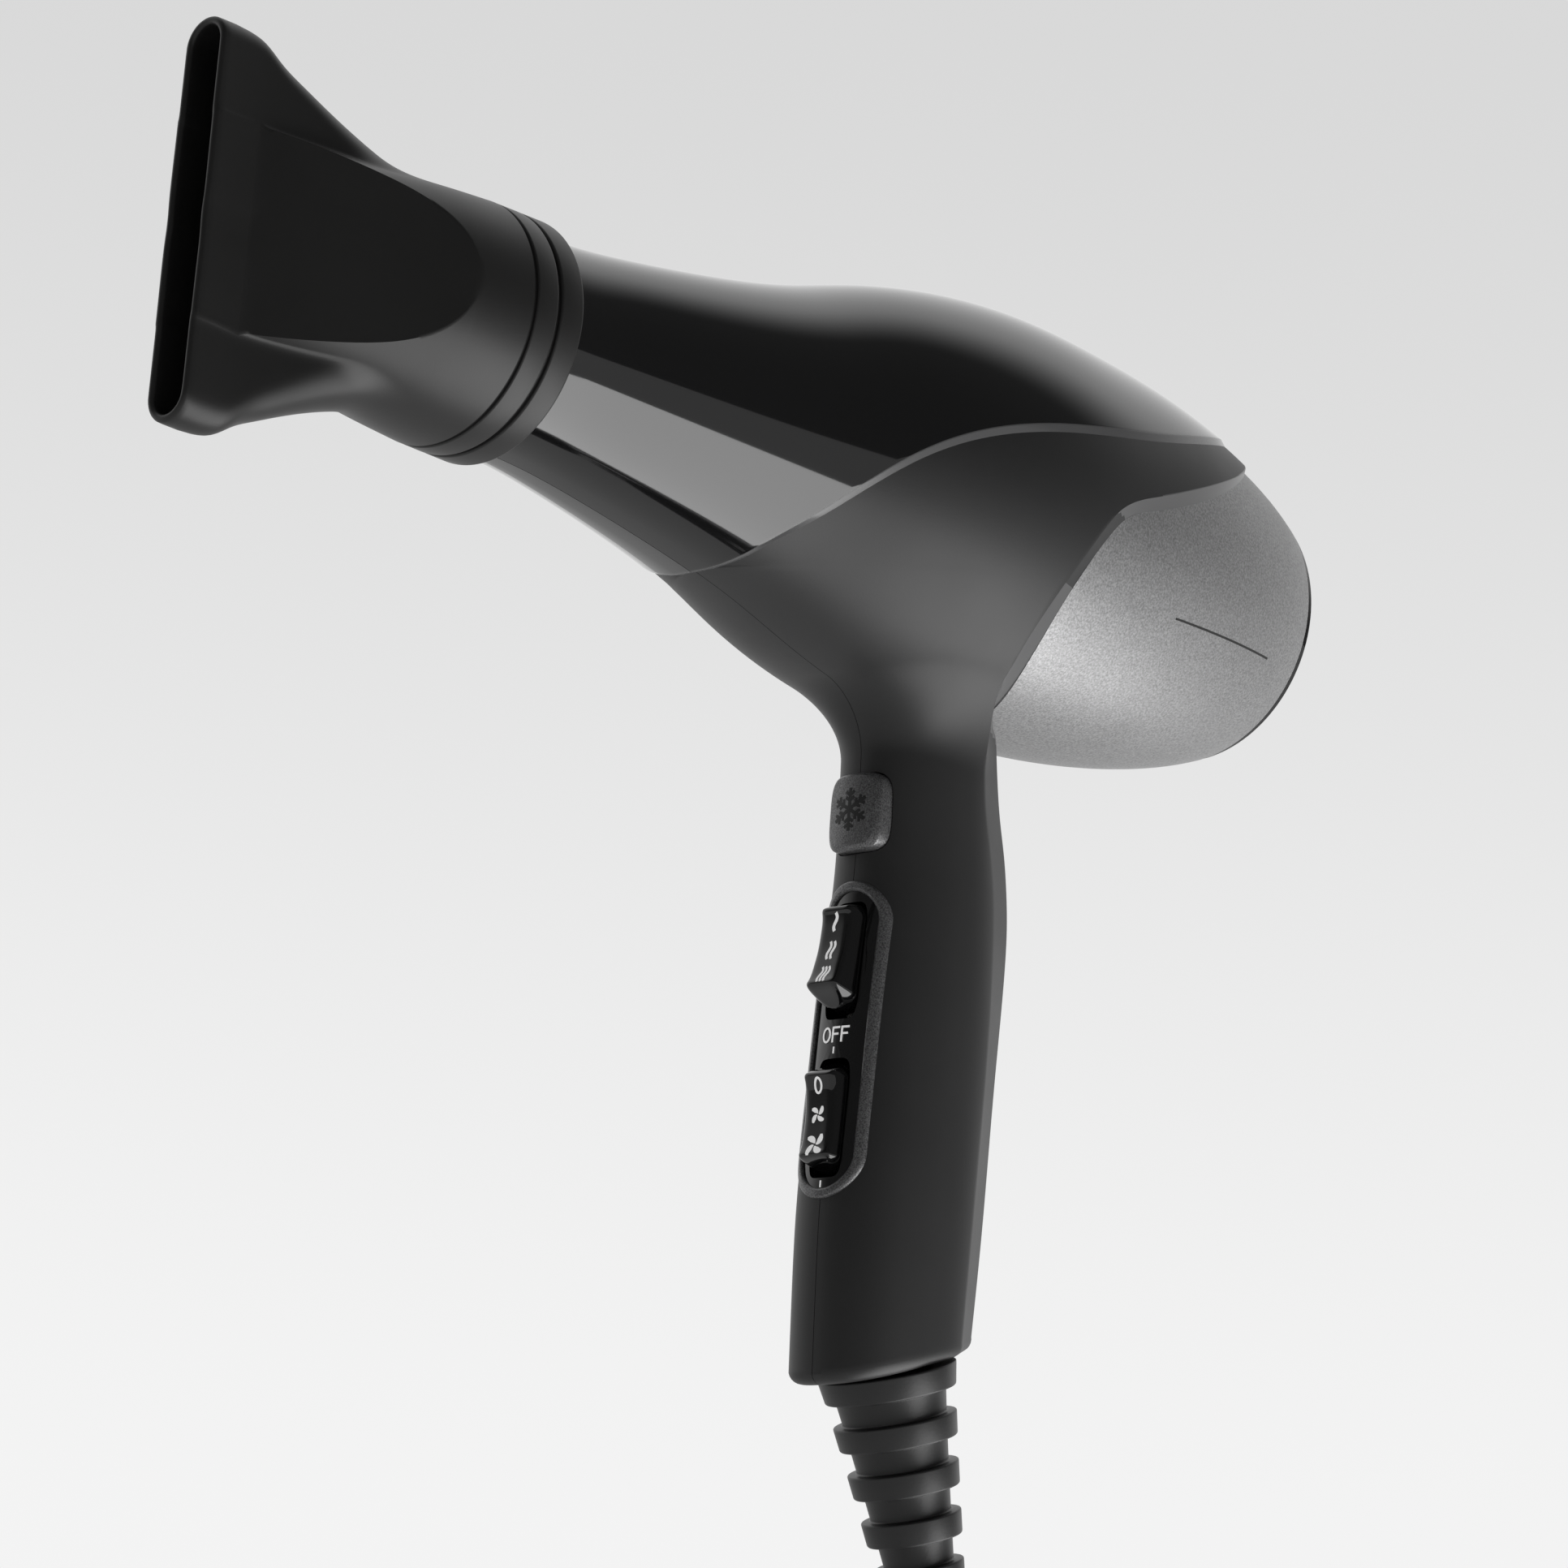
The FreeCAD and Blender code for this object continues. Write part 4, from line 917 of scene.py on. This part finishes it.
def make_rocker(name, node, body, z_mid, tilt):
    half, length, power = ROCKER_HALF_WIDTH, ROCKER_HALF_LENGTH, 2.3
    end = np.linspace(6.5, length, 24)
    s = np.concatenate([-end[::-1], np.linspace(-6, 6, 22), end])
    depth = rocker_depth(s)
    reach = np.maximum(np.abs(s) - (length - half), 0) / half
    width = half * np.clip(1 - reach ** power, 0.02, 1) ** (1 / power)
    rows = []
    across = np.sin(np.linspace(-math.pi / 2, math.pi / 2, 25))
    for k in across:
        drop = 0.9 * np.abs(k) ** 10
        rows.append(np.column_stack([-(depth - drop), width * k, s]))
    for k in (1, -1):
        rows.append(np.column_stack([np.full_like(s, -ROCKER_BASE), width * k, s]))
    grid = np.stack(rows, axis=1)
    points = place_rocker(grid.reshape(-1, 3), z_mid, tilt)
    faces = capped(grid.shape[0], grid.shape[1])
    obj = make_object(name, points, faces, [gloss_black])
    piece(obj, body, "gloss_black", node, sharp=38)


def place_rocker(points, z_mid, tilt):
    """From the rocker's own axes to the drawing frame."""
    c, s = math.cos(tilt), math.sin(tilt)
    x, y, z = points[:, 0], points[:, 1], points[:, 2]
    return np.column_stack([ROCKER_PIVOT_X + c * x + s * z, y, z_mid - s * x + c * z])


# ---- marks ----------------------------------------------------------------------------
def ribbon(line, width):
    """Outline strip of a drawn line, as left and right points."""
    line = np.asarray(line, float)
    tangent = np.gradient(line, axis=0)
    tangent /= np.linalg.norm(tangent, axis=1)[:, None]
    normal = np.column_stack([-tangent[:, 1], tangent[:, 0]])
    size = np.broadcast_to(np.asarray(width, float), (len(line),))[:, None] / 2
    return line + normal * size, line - normal * size


def make_marks(name, strokes, place, body, material):
    """Printed strokes as thin solids; place turns (y, z, lift) into drawing points."""
    points, faces = [], []
    for line, width in strokes:
        left, right = ribbon(line, width)
        start, count = len(points), len(left)
        for lift in (MARK_TOP, MARK_BASE):
            for row in (left, right):
                points.extend(place(row[:, 0], row[:, 1], lift))
        top_l, top_r, low_l, low_r = (start + k * count for k in range(4))
        for i in range(count - 1):
            j = i + 1
            faces += [(top_l + i, top_l + j, top_r + j, top_r + i),
                      (low_l + i, low_r + i, low_r + j, low_l + j),
                      (top_l + i, low_l + i, low_l + j, top_l + j),
                      (top_r + i, top_r + j, low_r + j, low_r + i)]
        for i in (0, count - 1):
            faces.append((top_l + i, top_r + i, low_r + i, low_l + i))
    obj = make_object(name, np.array(points), faces, [material], merge=0.0005)
    piece(obj, body, "switch_white", sharp=30)


def straight(a, b, steps=6):
    t = np.linspace(0, 1, steps)[:, None]
    return np.asarray(a) * (1 - t) + np.asarray(b) * t


def wave(y, z, height):
    t = np.linspace(-1, 1, 15)
    return np.column_stack([y + 0.42 * np.sin(t * math.pi * 0.9) - 0.1 * t, z + t * height / 2])


def oval(y, z, half_y, half_z):
    a = np.linspace(0, 2 * math.pi, 29)
    return np.column_stack([y + half_y * np.cos(a), z + half_z * np.sin(a)])


def propeller(y, z, size):
    strokes = []
    for k in range(4):
        turn = math.pi / 2 * k + 0.3
        t = np.linspace(0, 1, 9)
        radius, angle = size * (0.12 + 0.88 * t), turn + 0.7 * t
        line = np.column_stack([y + radius * np.cos(angle), z + radius * np.sin(angle)])
        strokes.append((line, size * (0.1 + 0.4 * np.sin(math.pi * t * 0.9))))
    return strokes


def snowflake(y, z, size):
    strokes = []
    for k in range(6):
        arm = math.pi / 3 * k + math.pi / 2
        tip = np.array((math.cos(arm), math.sin(arm))) * size
        strokes.append((straight((y, z), (y + tip[0], z + tip[1]), 8), 0.75))
        for share, reach in ((0.4, 0.3), (0.66, 0.3)):
            root = tip * share
            for turn in (-0.95, 0.95):
                barb = np.array((math.cos(arm + turn), math.sin(arm + turn))) * size * reach
                strokes.append((straight((y + root[0], z + root[1]),
                                         (y + root[0] + barb[0], z + root[1] + barb[1])), 0.65))
    return strokes


def on_rocker(z_mid, tilt):
    def place(y, s, lift):
        local = np.column_stack([-(rocker_depth(s) + lift), -y, s])
        return place_rocker(local, z_mid, tilt)
    return place


def make_all_marks():
    def on_button(y, z, lift):
        return np.column_stack([button_x(y, z) - lift, -y, z])

    def on_plate(y, z, lift):
        return np.column_stack([front_x(y, z) - 0.1 - lift, -y, z])

    make_marks("mark_snowflake", snowflake(0, BUTTON_Z + 0.3, 4.6), on_button, "cold_button", mark_black)
    heat = [(wave(0.3, 5.4, 3.8), 0.75)]
    heat += [(wave(y, -0.7, 3.9), 0.6) for y in (-0.25, 0.85)]
    heat += [(wave(y, -6.2, 3.5), 0.52) for y in (-0.7, 0.2, 1.1)]
    make_marks("mark_heat", heat, on_rocker(HEAT_Z, HEAT_TILT), "heat_rocker", mark_white_glowing)
    speed = [(oval(0, 6.0, 0.85, 1.5), 0.5)] + propeller(0, 0.1, 2.0) + propeller(0.2, -6.2, 2.6)
    make_marks("mark_speed", speed, on_rocker(SPEED_Z, 0.0), "speed_rocker", mark_white_glowing)
    z = -115.2
    words = [(oval(-2.6, z, 1.0, 1.45), 0.42)]
    for y in (-0.8, 1.6):
        words += [(straight((y, z - 1.65), (y, z + 1.65)), 0.42),
                  (straight((y, z + 1.45), (y + 1.8, z + 1.45)), 0.42),
                  (straight((y, z + 0.1), (y + 1.5, z + 0.1)), 0.42)]
    for top, bottom in ((z - 2.6, z - 4.0), (-145.6, -147.0)):
        words.append((straight((-0.2, top), (-0.2, bottom)), 0.35))
    make_marks("mark_off", words, on_plate, "body", mark_white_glowing)


def make_line():
    """Fine line along the rear housing."""
    start, end, half, steps = (164.6, -18.3), (204.0, -16.1), 0.22, 40
    x, z = np.linspace(start[0], end[0], steps), np.linspace(start[1], end[1], steps)
    rows = []
    for dz, lift in ((half, 0.02), (-half, 0.02), (-half, -0.3), (half, -0.3)):
        r = barrel_r.at(x) - REAR_DROP + lift
        zz = z + dz
        rows.append(np.column_stack([x, -np.sqrt(r ** 2 - zz ** 2), zz]))
    points = np.stack(rows, axis=1)
    obj = make_object("rear_line", points.reshape(-1, 3), capped(steps, 4), [mark_black])
    piece(obj, "body", "gloss_black", sharp=30)


# ---- studio ---------------------------------------------------------------------------
def background(tree, strength):
    shader = tree.nodes.new("ShaderNodeBackground")
    shader.inputs["Color"].default_value = (1, 1, 1, 1)
    tree.links.new(strength, shader.inputs["Strength"])
    return shader.outputs["Background"]


def make_world():
    world = bpy.data.worlds.new("studio")
    world.use_nodes = True
    bpy.context.scene.world = world
    tree = world.node_tree
    nodes, links = tree.nodes, tree.links
    nodes.clear()
    place = nodes.new("ShaderNodeTexCoord")
    # soft light: bright behind the dryer, dark towards the front
    facing = nodes.new("ShaderNodeVectorMath")
    facing.operation = "DOT_PRODUCT"
    facing.inputs[1].default_value = (0.55, 0.8, 0.15)
    links.new(place.outputs["Generated"], facing.inputs[0])
    studio = background(tree, levels(tree, facing.outputs["Value"], 0.05, 0.5, 0.1, 0.85, "SMOOTHSTEP"))
    # what the camera sees behind the dryer: a pale wall, a little darker towards the top
    split = nodes.new("ShaderNodeSeparateXYZ")
    links.new(place.outputs["Generated"], split.inputs["Vector"])
    wall = background(tree, levels(tree, split.outputs["Z"], 0.08, 0.42, 0.9, 0.69, "SMOOTHSTEP"))
    path = nodes.new("ShaderNodeLightPath")
    mix = nodes.new("ShaderNodeMixShader")
    links.new(path.outputs["Is Camera Ray"], mix.inputs["Fac"])
    links.new(studio, mix.inputs[1])
    links.new(wall, mix.inputs[2])
    out = nodes.new("ShaderNodeOutputWorld")
    links.new(mix.outputs["Shader"], out.inputs["Surface"])


def make_floor():
    mesh = bpy.data.meshes.new("floor")
    half, level = 20.0, -0.322
    corners = [(-half, -half, level), (half, -half, level), (half, half, level), (-half, half, level)]
    mesh.from_pydata(corners, [], [(0, 1, 2, 3)])
    floor = bpy.data.objects.new("floor", mesh)
    link(floor)
    paper = finish_material("floor_paper", (0.85, 0.85, 0.85), 0.9, specular=0.1, tint=0.01, glow=0.2)
    mesh.materials.append(paper)


def add_light(name, place, target, size, size_y, brightness):
    power = brightness * math.pi * size * size_y
    data = bpy.data.lights.new(name, "AREA")
    data.shape = "RECTANGLE"
    data.size, data.size_y, data.energy = size, size_y, power
    lamp = bpy.data.objects.new(name, data)
    aim = Vector(target) - Vector(place)
    lamp.matrix_world = Matrix.Translation(place) @ aim.to_track_quat("-Z", "Y").to_matrix().to_4x4()
    lamp.visible_camera = False
    link(lamp)


def make_camera():
    azimuth, elevation, roll = (math.radians(a) for a in (-46.0, -14.3, 4.3))
    back = Vector((math.sin(azimuth) * math.cos(elevation), -math.cos(azimuth) * math.cos(elevation),
                   math.sin(elevation)))
    right = Vector((math.cos(azimuth), math.sin(azimuth), 0))
    up = back.cross(right)
    c, s = math.cos(roll), math.sin(roll)
    axes = Matrix((right * c + up * s, up * c - right * s, back)).transposed()
    data = bpy.data.cameras.new("camera")
    data.sensor_width = 36.0
    data.lens = 111.8
    camera = bpy.data.objects.new("camera", data)
    camera.matrix_world = Matrix.Translation((-0.73067, -0.66610, -0.18676)) @ axes.to_4x4()
    link(camera)
    bpy.context.scene.camera = camera


# ---- build ----------------------------------------------------------------------------
dress_nodes()
button_outline = make_button()
holes = [prism("panel_hole", stadium_outline(PANEL_HALF - 0.5, PANEL_HALF_HEIGHT - 0.5, PANEL_Z), 122),
         prism("button_hole", button_outline, 124)]
make_cover("gloss_cover_left", 1, "barrel_cover_left")
make_cover("gloss_cover_right", -1, "barrel_cover_right")
make_shell("matte_shell_left", 1, "body_shell_left", holes)
make_shell("matte_shell_right", -1, "body_shell_right", holes)
discard(holes)
make_spine()
make_nozzle()
make_collar()
make_relief()
make_bezel()
make_plate()
make_rocker("heat_key", "heat_rocker", "heat_rocker", HEAT_Z, HEAT_TILT)
make_rocker("speed_key", "speed_rocker", "speed_rocker", SPEED_Z, 0.0)
make_all_marks()
make_line()
cord = make_cord()
strap = make_tie()
plug = make_plug()

make_world()
make_floor()
make_camera()
add_light("low", (0.29, -0.48, -0.315), (0.29, -0.48, 1.0), 0.54, 0.92, 3.6)
bpy.context.scene.view_settings.view_transform = "Standard"
